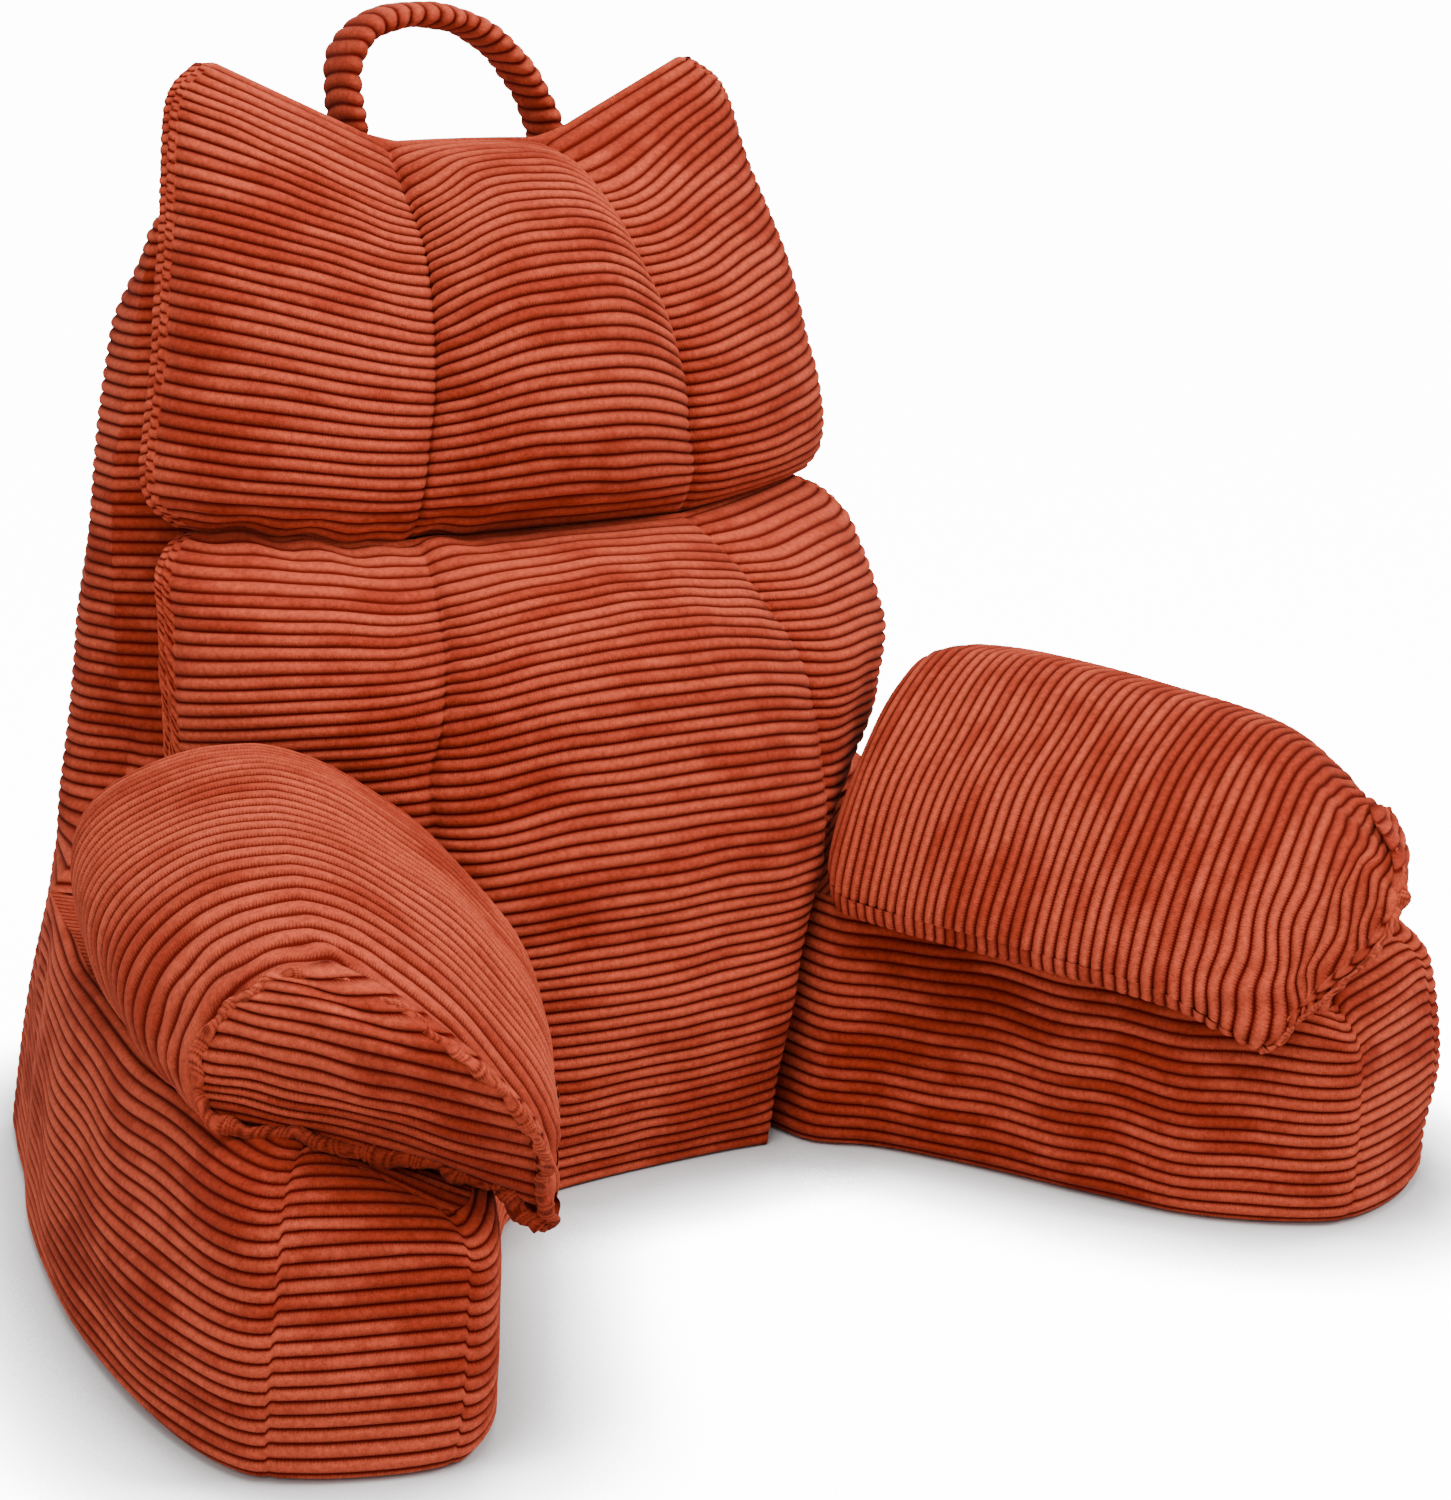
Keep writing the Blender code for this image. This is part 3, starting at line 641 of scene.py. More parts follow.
@dataclass(frozen=True)
class Corduroy:
    """Wide-wale corduroy of one piece: its colours and how its pile shows, with painted shade in
    its grooves and down its ribs' flanks and a painted sheen in its crown colour.
    """

    name: str
    # crown: the cloth's colour on the ribs' crowns, with a pale painted sheen mixed in
    crown: Colour = (0.50, 0.072, 0.034, 1.0)
    # groove: painted shade in the grooves between the ribs
    groove: Colour = (0.105, 0.0016, 0.0006, 1.0)
    brushed: Colour = (0.25, 0.020, 0.008, 1.0)
    brushed_share: float = 0.75
    notches: float = 0.6
    sheen: float = 0.08
    bump: float = 0.6

    def make(self) -> bpy.types.Material:
        """Build the material."""
        material = bpy.data.materials.new(self.name)
        material.use_nodes = True
        tree = material.node_tree
        shader = tree.nodes["Principled BSDF"]
        sheet = NodeSheet(tree)
        cloth_map = sheet.add("ShaderNodeUVMap", uv_map="cloth").outputs[0]
        pile = sheet.add("ShaderNodeGroup", node_tree=pile_group())
        tree.links.new(cloth_map, pile.inputs["Map"])
        pile.inputs["Crown Colour"].default_value = self.crown
        pile.inputs["Groove Colour"].default_value = self.groove
        pile.inputs["Brushed Colour"].default_value = self.brushed
        pile.inputs["Brushed Share"].default_value = self.brushed_share
        pile.inputs["Notches"].default_value = self.notches
        relief = {"Height": pile.outputs["Height"], "Strength": self.bump, "Distance": 0.8 * MM}
        bump = sheet.add("ShaderNodeBump", relief)
        tree.links.new(pile.outputs["Colour"], shader.inputs["Base Color"])
        tree.links.new(bump.outputs[0], shader.inputs["Normal"])
        shader.inputs["Roughness"].default_value = 0.9
        shader.inputs["Metallic"].default_value = 0.0
        shader.inputs["Specular IOR Level"].default_value = 0.05
        shader.inputs["Sheen Weight"].default_value = self.sheen
        shader.inputs["Sheen Roughness"].default_value = 0.45
        shader.inputs["Sheen Tint"].default_value = (1.0, 0.50, 0.34, 1.0)
        return material


# ---- the sub-assemblies ----
def front_face_y(x: Array, z: Array) -> Array:
    """How far back the body's hidden front lies, at places given by x and height."""
    face = np.array(FRONT_FACE) * MM
    ridges = np.array([row[:2] for row in BACK_SECTIONS]) * MM
    middle = np.interp(z, face[:, 0], face[:, 1])
    side = np.interp(z, face[:, 0], face[:, 2])
    ridge_x = np.interp(z, ridges[:, 0], ridges[:, 1])
    return middle + (side - middle) * clamp(np.abs(x) / ridge_x) ** FRONT_BEND


def place_piece(piece: bpy.types.Object, node: str, stands_for: bool = True) -> None:
    """Fasten a finished piece to the frame.

    Args:
        piece: The piece.
        node: The CAD node, also the name of its material slot.
        stands_for: Whether it takes that node's place.
    """
    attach(piece, ROOT_BODY)
    if stands_for:
        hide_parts(node)
    LOG.info("%s: %d faces", piece.name, len(piece.data.polygons))


@dataclass
class ChannelCushion:
    """A back cushion with three sewn channels and a braided-looking edge seam.

    Attributes:
        node: The CAD node that it stands for.
        table: Its sections, from the top down.
        finish: Its cloth.
        thick_foot: Whether its back stays thick down to the foot.
        fill: How full it is, from 0 to 1; not used.
        seed: Picks its unevenness.
        top_pucker: Weight of the crease's waves at its top.
        foot_pucker: And at its foot.
        top_hem: How far the hem at the top swells, metres.
        foot_hem: And the one at the foot.
        seam_sag: How far the ribs sag at the channels' seams, at the top and the foot.
        side_slope: How far they fall towards the sides.
        rise: How far their crowns stand out from the table's form.
        side_columns: Columns of points across each outer channel.
        middle_columns: And across the middle one.
        back_columns: Points across the back.
    """

    node: str
    table: list[tuple[float, ...]]
    finish: Corduroy
    thick_foot: bool
    fill: float
    seed: int
    top_pucker: float = 0.0
    foot_pucker: float = 0.0
    top_hem: float = 1.9 * MM
    foot_hem: float = 1.9 * MM
    seam_sag: tuple[float, float] = (0.0, 0.0)
    side_slope: float = 0.0
    rise: float = 1.5 * MM
    side_columns: int = 26
    middle_columns: int = 44
    back_columns: int = 25

    def front_shares(self) -> Array:
        """Places across the front from +1 at the right edge, closer together at seams."""
        def ease(count: int) -> Array:
            """Steps from 0 to 1, closer together at both ends."""
            turns = np.linspace(0.0, math.pi, count + 1)
            return 0.65 * (1.0 - np.cos(turns)) / 2.0 + 0.35 * turns / math.pi

        side, middle = 0.5 * ease(self.side_columns), ease(self.middle_columns)
        return np.concatenate([1.0 - side[:-1], 0.5 - middle[:-1], -0.5 - side])

    @staticmethod
    def front_points(rows: Array, shares: Array, inset: float = BRAID_INSET) -> Array:
        """Points of the front from table rows and places across, in millimetres.

        Args:
            rows: Rows of the cushion's table.
            shares: Places across, +1 at the right edge and -1 at the left.
            inset: How far short of the cushion's edge the panel ends, metres.

        Returns:
            The points.
        """
        seam, edge = rows[..., 0:3], rows[..., 3:6] - (BRAID_ROOM / MM, 0.0, 0.0)
        crown, lift, puff = rows[..., 6], rows[..., 7], rows[..., 8]
        side = np.where(shares < 0.0, -1.0, 1.0)
        place = np.abs(shares)
        s = np.minimum(place / 0.5, 1.0)
        swell = (1.0 - s ** CROWN_FLAT) ** CROWN_FULL
        middle = np.stack([
            side * seam[..., 0] * s, seam[..., 1] - crown * swell, seam[..., 2] + lift * swell,
        ], axis=-1)
        s = clamp((place - 0.5) / 0.5)
        swell = (4.0 * s * (1.0 - s)) ** CROWN_FULL
        chord = edge - seam
        width = np.hypot(chord[..., 0], chord[..., 1])
        out = s * (1.0 - inset / MM / width)
        x = seam[..., 0] + chord[..., 0] * out + chord[..., 1] / width * puff * swell
        y = seam[..., 1] + chord[..., 1] * out - chord[..., 0] / width * puff * swell
        outer = np.stack([side * x, y, seam[..., 2] + chord[..., 2] * out], axis=-1)
        return np.where((place <= 0.5)[..., None], middle, outer)

    def back_points(self, rows: Array, shares: Array, hem_distance: Array) -> Array:
        """Points of the back: a thin hem that swells until it meets the body, metres."""
        flat_rows = np.array(rows)
        flat_rows[..., 6:9] = 0.0
        flat = self.front_points(flat_rows, shares, 0.0) * MM
        from_side = (1.0 - np.abs(shares)) * 2.0 * (rows[..., 3] - rows[..., 0]) * MM
        inwards = np.minimum(from_side, hem_distance)
        depth = flat[..., 1] + HEM + EDGE_SWELL * (1.0 - np.exp(-inwards / EDGE_SWELL))
        limit = front_face_y(flat[..., 0], flat[..., 2]) - GAP
        low = flat[..., 2] < BODY_TOP + EAR_CLEARANCE
        flat[..., 1] = np.where(low, np.minimum(depth, limit), depth)
        return flat

    @staticmethod
    def crease_wave(x: Array) -> Array:
        """How far the crease between the two cushions waves up and down, at places in x."""
        leftwards = 1.0 / (1.0 + np.exp((x + 55.0 * MM) / (18.0 * MM)))
        return 3.0 * MM * ripple(x, 0.0, 34.0 * MM, 5) * leftwards

    def drifted(self, ruler: Ruler, count: int, steps: Array, shares: Array) -> Array:
        """The front before its relief, with ribs that wander and sag at the seams.

        Args:
            ruler: Measures the cushion's table.
            count: Number of wales down the cushion.
            steps: Places of the rows, in wales.
            shares: Places across, rows by columns.

        Returns:
            The grid of points.
        """
        level = rail(self.table, ruler.at(steps / count))[:, None, :]
        level = self.front_points(level, shares) * MM
        x, z = level[..., 0], level[..., 2]
        drift = ripples(x, z, ((0.11, 95.0 * MM), (0.05, 38.0 * MM)), self.seed)
        seam_off = np.minimum(np.abs(np.abs(shares) - 0.5), 1.0) * CUSHION_REACH
        jog = ripple(z, 0.0, 30.0 * MM, self.seed + 2)
        drift = drift + 0.12 * fade(seam_off, 12.0 * MM) * jog
        down = steps[:, None] / count
        sag = self.seam_sag[0] + (self.seam_sag[1] - self.seam_sag[0]) * down
        drift = drift + sag / WALE * fade(seam_off, 42.0 * MM)
        outwards = clamp((np.abs(shares) - 0.5) * 2.0)
        slope = self.side_slope * np.interp(down, [0.0, 0.2, 0.5, 0.8], [0.0, 0.8, 1.0, 0.0])
        drift = drift + slope / WALE * outwards
        drift = drift * self.calm(count, steps)
        rows = rail(self.table, ruler.at((steps[:, None] + drift) / count))
        return self.front_points(rows, shares) * MM

    @staticmethod
    def calm(count: int, steps: Array) -> Array:
        """Weight of the drift and lumps, which die out towards the top and the foot."""
        return clamp(np.minimum(steps, count - steps)[:, None] / CALM_WALES)

    def relief(self, base: Array, along: Array, calm: Array, height: Array) -> Array:
        """How far the cloth stands out from the base.

        Args:
            base: The grid of points before its relief.
            along: Metres along its rows.
            calm: Weight of the lumps in each row.
            height: Height of the ribs in each row, from 0 to 1.

        Returns:
            Metres, with ribs, soft lumps and sunk seams.
        """
        seams = [self.side_columns, self.side_columns + self.middle_columns]
        seam_off = np.min([np.abs(along - along[:, k:k + 1]) for k in seams], axis=0)
        edge_off = np.minimum(along, along[:, -1:] - along)
        pinch = fade(seam_off, 3.2 * MM)
        waves = ((1.1 * MM, 75.0 * MM), (0.5 * MM, 30.0 * MM))
        lumps = ripples(base[..., 0], base[..., 2], waves, self.seed + 3)
        lumps = lumps * clamp(edge_off / (25.0 * MM)) * calm
        depth = RIB_DEPTH * (1.0 - 0.45 * pinch) * (1.0 - 0.3 * fade(edge_off, 3.0 * MM))
        return self.rise - depth * (1.0 - height) + lumps - 1.6 * MM * pinch

    def back(self, ruler: Ruler, count: int, steps: Array, height: Array) -> Array:
        """The back's grid of points.

        Args:
            ruler: Measures the cushion's table.
            count: Number of wales down the cushion.
            steps: Places of the rows, in wales.
            height: Height of the ribs in each row, from 0 to 1.

        Returns:
            The points, from the right edge to the left.
        """
        shares = np.linspace(1.0, -1.0, self.back_columns)
        rows = rail(self.table, ruler.at(steps / count))[:, None, :]
        foot = steps if self.thick_foot else count - steps
        hem_distance = (np.minimum(steps, foot) * WALE)[:, None]
        across = np.broadcast_to(shares, (len(steps), len(shares)))
        points = self.back_points(rows, across, hem_distance)
        points[..., 2] = np.maximum(points[..., 2], 0.0)
        points[..., 1] += RIB_DEPTH * 0.5 * (height - 1.0)
        return points

    def build(self) -> bpy.types.Object:
        """Cut and sew the whole cushion."""
        ruler = Ruler(self.table, [0, 1, 2])
        count = wale_count(ruler.length)
        steps = wale_rows(count, Crown.BETWEEN_COUNTS)
        shares = self.front_shares()
        base = self.drifted(ruler, count, steps, np.broadcast_to(shares, (len(steps), len(shares))))
        at_top = fade(steps[:, None] * WALE, PUCKER_REACH)
        at_foot = fade((count - steps)[:, None] * WALE, PUCKER_REACH)
        pucker = self.top_pucker * at_top + self.foot_pucker * at_foot
        base[..., 2] += self.crease_wave(base[..., 0]) * pucker
        along = runs_along(base)
        height = rib_height(steps, Crown.BETWEEN_COUNTS)[:, None]
        shift = self.relief(base, along, self.calm(count, steps), height)
        front = base + outward(base, -1.0) * shift[..., None]
        front[..., 2] = np.maximum(front[..., 2], 0.0)
        back = self.back(ruler, count, steps, height)

        cloth = Cloth()
        wales = (steps - 0.5)[:, None]
        cloth.sheet(front, along, wales)
        back_index = cloth.sheet(back, runs_along(back), wales, flip=True)
        for column, sign in ((0, 1.0), (-1, -1.0)):
            cloth.sheet(*self.braid(front[:, column], back[:, column], steps, sign), flip=sign > 0)
        for row, bulge in ((0, self.top_hem), (-1, -self.foot_hem)):
            hem = self.hem(front[row], back[row], bulge)
            turn = np.linspace(0.0, math.pi, len(hem))[:, None]
            index = cloth.sheet(hem, runs_along(hem), wales[row, 0] + 0.5 * np.sin(turn))
            cloth.zip_up(index[-1], back_index[row])
        piece = cloth.sew(f"{self.node}_cover", self.finish.make())
        place_piece(piece, self.node)
        return piece

    @staticmethod
    def hem(front: Array, back: Array, bulge: float) -> Array:
        """A rounded hem from the front's last row over to the back's.

        Args:
            front: Points of the front's row.
            back: Points of the back's row, fewer or more.
            bulge: How far the hem rises in between, metres.

        Returns:
            The grid of points, from front to back.
        """
        run = np.linspace(0.0, 1.0, len(front))
        far = resample(back, run)
        turn = np.linspace(0.0, math.pi, 7)[:, None, None]
        points = front + (far - front) * (1.0 - np.cos(turn)) / 2.0
        points[..., 2] += bulge * np.sin(turn[..., 0]) * np.minimum(40.0 * run * (1.0 - run), 1.0)
        return points

    @staticmethod
    def braid(front: Array, back: Array, steps: Array, sign: float) -> tuple[Array, Array, Array]:
        """The hem down one side: two columns of slanting bumps, one to a stitch.

        Args:
            front: The front panel's edge points.
            back: The back panel's edge points.
            steps: Places of the rows, in wales.
            sign: +1 on the right and -1 on the left.

        Returns:
            The grid of points, metres along and wales across.
        """
        across = np.linspace(0.0, 1.0, 15)
        points = front[:, None, :] + (back - front)[:, None, :] * across[None, :, None]
        bead = np.abs(np.sin(TAU * across)) ** 0.7
        slant = np.where(across < 0.5, 0.5 * across, 0.5 + 0.5 * (1.0 - across))
        stitches = steps * WALE / BRAID_STITCH
        lift = rib_height(stitches[:, None] + slant[None, :], Crown.BETWEEN_COUNTS)
        strip = (back - front)[:, None, :]
        level = np.zeros(strip.shape[:2])
        out = sign * unit(np.stack([strip[..., 1], -strip[..., 0], level], axis=2))
        points += out * (bead * (0.5 + 1.9 * lift))[..., None] * MM
        wales = stitches[:, None] + slant[None, :] - 0.5
        return points, np.broadcast_to(across * HEM, wales.shape), wales


@dataclass
class BoxedBody:
    """The filled back and both arm bases under one boxed cover.

    Attributes:
        node: The CAD node that it stands for.
        finish: Its cloth.
        rear_columns: Columns of points round the sides and rear.
        arm_columns: And round the wall of one arm.
        face_columns: And across the front.
        upper_steps: Rows of points to a wale over the arms.
        lower_steps: And below their top.
        roll_wales: Wales that an arm's wall has spare, to roll over its edge.
        edge_round: Rounding of that edge, metres.
        end_centre: Plan point that an arm's end rounds in towards, millimetres.
    """

    node: str
    finish: Corduroy
    rear_columns: int = 60
    arm_columns: int = 120
    face_columns: int = 22
    upper_steps: int = 6
    lower_steps: int = 8
    roll_wales: int = 4
    edge_round: float = 8.0 * MM
    end_centre: tuple[float, float] = (262.0, -205.0)

    @staticmethod
    def rear_plan(heights: Array, columns: int) -> Array:
        """Points round the sides and rear, from the right ridge to the left, per height."""
        sections = np.array(BACK_SECTIONS, dtype=float)
        place = np.interp(heights / MM, sections[:, 0], np.arange(len(sections)))
        rows = rail(sections, place) * MM
        half = np.stack([rows[:, k:k + 2] for k in range(1, 11, 2)], axis=1)
        middle = np.column_stack([np.zeros(len(rows)), rows[:, 11]])[:, None, :]
        mirror = half[:, ::-1] * (-1.0, 1.0)
        chain = np.concatenate([half, middle, mirror], axis=1)
        spots = np.linspace(0.0, chain.shape[1] - 1.0, columns + 1)
        plan = np.stack([rail(line, spots) for line in chain])
        tall = np.broadcast_to(heights[:, None, None], (len(heights), columns + 1, 1))
        return np.concatenate([plan, tall], axis=2)

    @staticmethod
    def inset_rear(points: Array, distance: Array) -> Array:
        """Move the rear plan inwards; its two ridges slide in x alone."""
        run = np.gradient(points, axis=1)
        inwards = unit(np.stack([-run[..., 1], run[..., 0], np.zeros(run.shape[:2])], axis=2))
        inwards[:, 0] = (-1.0, 0.0, 0.0)
        inwards[:, -1] = (1.0, 0.0, 0.0)
        return points + inwards * distance[..., None]

    def lower_rows(self) -> tuple[Array, Array]:
        """Places in wales and pull of the foot for the rows below the arms' top."""
        count = wale_count(ARM_RISE)
        steps = wale_rows(count, Crown.ON_THE_COUNT, self.lower_steps)
        heights = ARM_RISE * steps / count
        pull = FOOT_ROUND * FOOT_DEPTH * (1.0 - quarter_round(heights, FOOT_ROUND))
        return steps, pull

    def lower_rear(self) -> tuple[Array, Array]:
        """The sides and rear below the height of the arms, with their wales."""
        steps, pull = self.lower_rows()
        heights = ARM_RISE * steps / wale_count(ARM_RISE)
        plan = self.rear_plan(heights, self.rear_columns)
        distance = np.broadcast_to((pull + groove_depth(steps))[:, None], plan.shape[:2])
        return self.inset_rear(plan, distance), steps

    def wall_columns(self, length: float, seams: Array) -> Array:
        """Places of the columns round an arm's wall, closer together at its two seams."""
        fine = np.linspace(0.0, length, 2000)
        crowd = 1.0 + 6.0 * (fade(fine - seams[0], 9.0 * MM) + fade(fine - seams[1], 9.0 * MM))
        crowd = np.concatenate([[0.0], np.cumsum((crowd[1:] + crowd[:-1]) / 2.0)])
        return np.interp(np.linspace(0.0, crowd[-1], self.arm_columns + 1), crowd, fine)

    @staticmethod
    def wall_drift(distance: Array, high: Array, places: Array, seed: int) -> Array:
        """How far the ribs of an arm's wall wander, in wales.

        Args:
            distance: Metres round the wall.
            high: Metres up the wall.
            places: Places in the arm's outline of the distances.
            seed: Picks the waves.

        Returns:
            The drift. The end panel's own ribs are shifted against the walls'.
        """
        inner = 1.0 / (1.0 + np.exp(-(places - INNER_CORNER - 0.5) * 3.0))
        drift = 0.12 * ripple(distance, high, 120.0 * MM, seed)
        drift = drift + (0.05 + 0.16 * inner) * ripple(distance, high * 0.5, 84.0 * MM, seed + 1)
        panel = clamp((places - OUTER_SEAM) * 40.0) * clamp((INNER_SEAM - places) * 40.0)
        return drift * (1.0 - 0.7 * panel) + 0.42 * panel

    def roundings(self, places: Array) -> tuple[Array, Array, Array]:
        """Nearness to the arm's end, and how far its edge rounds down and in, metres."""
        at_end = np.interp(places, *np.array(ARM_END).T)
        at_end = at_end * at_end * (3.0 - 2.0 * at_end)
        round_in = self.edge_round * clamp(np.minimum(places, LEDGE_START - places))
        round_up = np.minimum(round_in + END_ROUND_UP * at_end, END_ROUND_MOST)
        return at_end, round_up, round_in + END_ROUND_IN * at_end

    def arm_wall(self, hand: Hand, ridge: Array) -> tuple[Array, Array, Array]:
        """The wall of one arm base from the ridge round its end to the middle.

        Args:
            hand: The side.
            ridge: Points of the side's ridge that the wall starts from.

        Returns:
            Points, metres along the ribs and wales.
        """
        table = np.array(ARM_OUTLINE, dtype=float)
        ruler = Ruler(table, ARM_TOP_XY)
        seams = ruler.share_of([OUTER_SEAM, INNER_SEAM]) * ruler.length
        distance = self.wall_columns(ruler.length, seams)
        places = ruler.at(distance / ruler.length)
        rows = rail(table, places) * MM
        pitch = ARM_RISE / wale_count(ARM_RISE)
        count = wale_count(ARM_RISE) + self.roll_wales
        steps = wale_rows(count, Crown.ON_THE_COUNT, self.lower_steps)
        high = (steps * pitch)[:, None]
        pull = FOOT_ROUND * FOOT_DEPTH * (1.0 - quarter_round(high, FOOT_ROUND))
        calm = clamp(steps / 3.0)[:, None]
        seed = 40 if hand is Hand.RIGHT else 60
        at_end, round_up, round_in = self.roundings(places)
        height = rows[:, 4]
        upright = height - round_up
        curve = np.maximum(math.pi / 2.0 * np.hypot(round_up, round_in) / math.sqrt(2.0), 1e-6)

        run = high + self.wall_drift(distance, high, places, seed) * calm * pitch
        run[-1] = high[-1] + pitch
        angle = clamp((run - upright) / curve) * math.pi / 2.0
        z = np.clip(np.minimum(run, upright), 0.0, None) + round_up * np.sin(angle)
        inset = round_in * (1.0 - np.cos(angle))
        over = run >= upright + curve

        level = z / height
        floor, top = rows[None, :, 0:2], rows[None, :, 2:4]
        plan = floor + (top - floor) * level[..., None]
        tuck = rows[:, 6] * (1.0 + (TOP_TUCK - 1.0) * level)
        if hand is Hand.LEFT:
            plan[..., 0] += tuck
        course = np.gradient(plan, axis=1)
        out = unit(np.stack([-course[..., 1], course[..., 0]], axis=2))
        inwards = unit(np.array(self.end_centre) * MM - plan)
        inwards = inwards * at_end[:, None] - out * (1.0 - at_end[:, None])
        pinch = fade(np.min([np.abs(distance - seam) for seam in seams], axis=0), SEAM_WIDTH)
        ribs = groove_depth(steps)[:, None] * (1.0 - 0.4 * pinch)
        lumps = 1.3 * MM * ripple(distance, high, 80.0 * MM, seed + 2) * calm
        lumps = lumps * clamp((upright + curve - run) / (20.0 * MM))
        ribs = np.where(over, 0.5 * RIB_DEPTH, ribs)
        sunk = ribs + SEAM_DEPTH * pinch
        push = rows[:, 5] * np.sin(math.pi * level) - pull + lumps - sunk * np.cos(angle)
        plan = plan + out * push[..., None] + inwards * inset[..., None]
        z = np.maximum(z - sunk * np.sin(angle), 0.0)
        points = np.concatenate([plan, z[..., None]], axis=2)
        points[..., 0] *= hand.value
        ridge = np.concatenate([ridge, np.repeat(ridge[-1:], len(points) - len(ridge), axis=0)])
        blend = fade(np.arange(self.arm_columns + 1), 3.0)[None, :, None]
        points = points + (ridge[:, None, :] - points[:, :1]) * blend
        middle = fade(np.arange(self.arm_columns, -1, -1), 3.0)[None, :]
        points[..., 0] *= 1.0 - middle
        return points, np.broadcast_to(distance, points.shape[:2]), steps

    def upper_heights(self) -> tuple[Array, Array, Array]:
        """Heights, roundness and places in wales of the rows over the arms."""
        straight = BODY_TOP - TOP_ROUND - ARM_RISE
        total = straight + TOP_ROUND * math.pi / 2.0
        count = wale_count(total)
        steps = wale_rows(count, Crown.ON_THE_COUNT, self.upper_steps)
        run = steps / count * total
        angle = np.clip((run - straight) / TOP_ROUND, 0.0, math.pi / 2.0)
        rounded = BODY_TOP - TOP_ROUND + TOP_ROUND * np.sin(angle)
        heights = np.where(run <= straight, ARM_RISE + run, rounded)
        return heights, np.sin(angle), steps

    def upper_rear(self) -> tuple[Array, Array, Array]:
        """The sides and rear over the arms: points, places in wales and roundness."""
        heights, over, steps = self.upper_heights()
        plan = self.rear_plan(heights, self.rear_columns)
        pull = TOP_ROUND * (1.0 - np.sqrt(np.maximum(1.0 - over ** 2, 0.0)))
        spots = np.linspace(0.0, 1.0, plan.shape[1])
        lumps = 1.5 * MM * ripple(spots * 1.2, heights[:, None], 130.0 * MM, 80)
        lumps = lumps * clamp(steps[:, None] / 3.0) * (1.0 - over[:, None])
        distance = (pull + groove_depth(steps))[:, None] - lumps
        return self.inset_rear(plan, distance), steps, over

    def front_face(self, wall: Array, steps: Array, over: Array) -> Array:
        """The front between the two ridges: ribbed strips, and the part behind the cushions.

        Args:
            wall: The upper rear wall, whose outer columns are the ridges.
            steps: Places of its rows, in wales.
            over: Roundness of its rows.

        Returns:
            The grid of points from the right ridge to the left.
        """
        right, left = wall[:, 0], wall[:, -1]
        turns = np.linspace(0.0, 1.0, self.face_columns // 2 + 1)
        half = 1.0 - turns ** 1.7
        shares = np.concatenate([half, -half[-2::-1]])
        x = right[:, :1] * clamp(shares) - left[:, :1] * np.clip(shares, -1.0, 0.0)
        z = np.broadcast_to(right[:, 2:3], x.shape)
        y = front_face_y(x, z) + TOP_FRONT_ROUND * over[:, None] ** 2
        from_ridge = (1.0 - np.abs(shares)) * np.abs(right[:, :1])
        bulge = 3.5 * MM * np.sin(clamp(from_ridge / (2.0 * FRONT_STRIP)) * math.pi)
        fresh = clamp(from_ridge / (4.0 * MM))
        y = y + fresh * (groove_depth(steps)[:, None] - bulge * (1.0 - over[:, None]))
        points = np.stack([x, y, z], axis=2)
        points[:, 0], points[:, -1] = right, left
        return points

    @staticmethod
    def ruled(
        first: Array, second: Array, columns: int, crown: float
    ) -> tuple[Array, Array, Array]:
        """A ribbed sheet between two edges, with ribs that run from edge to edge.

        Args:
            first: Points of one edge, as many as rows are wanted.
            second: Points of the other edge.
            columns: Number of columns.
            crown: How far the sheet swells up between the edges.

        Returns:
            Points, metres along the ribs and wales.
        """
        across = np.linspace(0.0, 1.0, columns + 1)
        points = first[:, None, :] + (second - first)[:, None, :] * across[None, :, None]
        middle = points[:, columns // 2]
        wales = run_of(middle) / WALE
        edge = clamp(4.0 * across * (1.0 - across))
        ribs = groove_depth(wales)[:, None] * np.minimum(edge * 3.0, 1.0)
        points[..., 2] += edge[None, :] * crown - ribs
        return points, runs_along(points), wales[:, None]

    def arm_top(self, wall: Array, distance: Array, face_foot: Array) -> tuple[Array, Array, Array]:
        """The top of an arm base with the ledge behind the lumbar cushion.

        Args:
            wall: The arm's wall, whose last row is its rim.
            distance: Metres round the wall at its columns.
            face_foot: The lowest row of the front face, from this side's ridge inwards.

        Returns:
            Points, metres along the ribs and wales.
        """
        ruler = Ruler(ARM_OUTLINE, ARM_TOP_XY)
        rim = wall[-1]
        tip = int(np.argmin(np.abs(distance - ruler.share_of(PANEL_TIP) * ruler.length)))
        turn = int(np.argmin(np.abs(distance - ruler.share_of(LEDGE_START) * ruler.length)))
        rows = np.linspace(0.0, 1.0, 8 * wale_count(ARM_TOP_LENGTH) + 1)
        ledge_rows = np.linspace(0.0, 1.0, LEDGE_ROWS)[1:]
        outer = np.concatenate([resample(rim[tip::-1], rows), resample(face_foot, ledge_rows)])
        upright = resample(rim[tip:turn + 1], rows)
        inner = np.concatenate([upright, resample(rim[turn:], ledge_rows)])
        return self.ruled(outer, inner, 10, 2.0 * MM)

    def build(self) -> bpy.types.Object:
        """Cut and sew the whole cover."""
        cloth = Cloth()
        rear, low_steps = self.lower_rear()
        cloth.sheet(rear, runs_along(rear), low_steps[:, None])
        rings = [rear[0]]
        walls = {}
        for hand, column in ((Hand.RIGHT, 0), (Hand.LEFT, -1)):
            points, along, steps = self.arm_wall(hand, rear[:, column])
            walls[hand] = (points, along[0])
            cloth.sheet(points, along, steps[:, None], flip=hand is Hand.RIGHT)
        rings += [walls[Hand.LEFT][0][0], walls[Hand.RIGHT][0][0][::-1]]
        sole = np.concatenate([ring[:-1] for ring in rings])
        index = cloth.sheet(sole[None], np.zeros((1, len(sole))), np.zeros((1, 1)))
        cloth.close(index[0], flip=True)

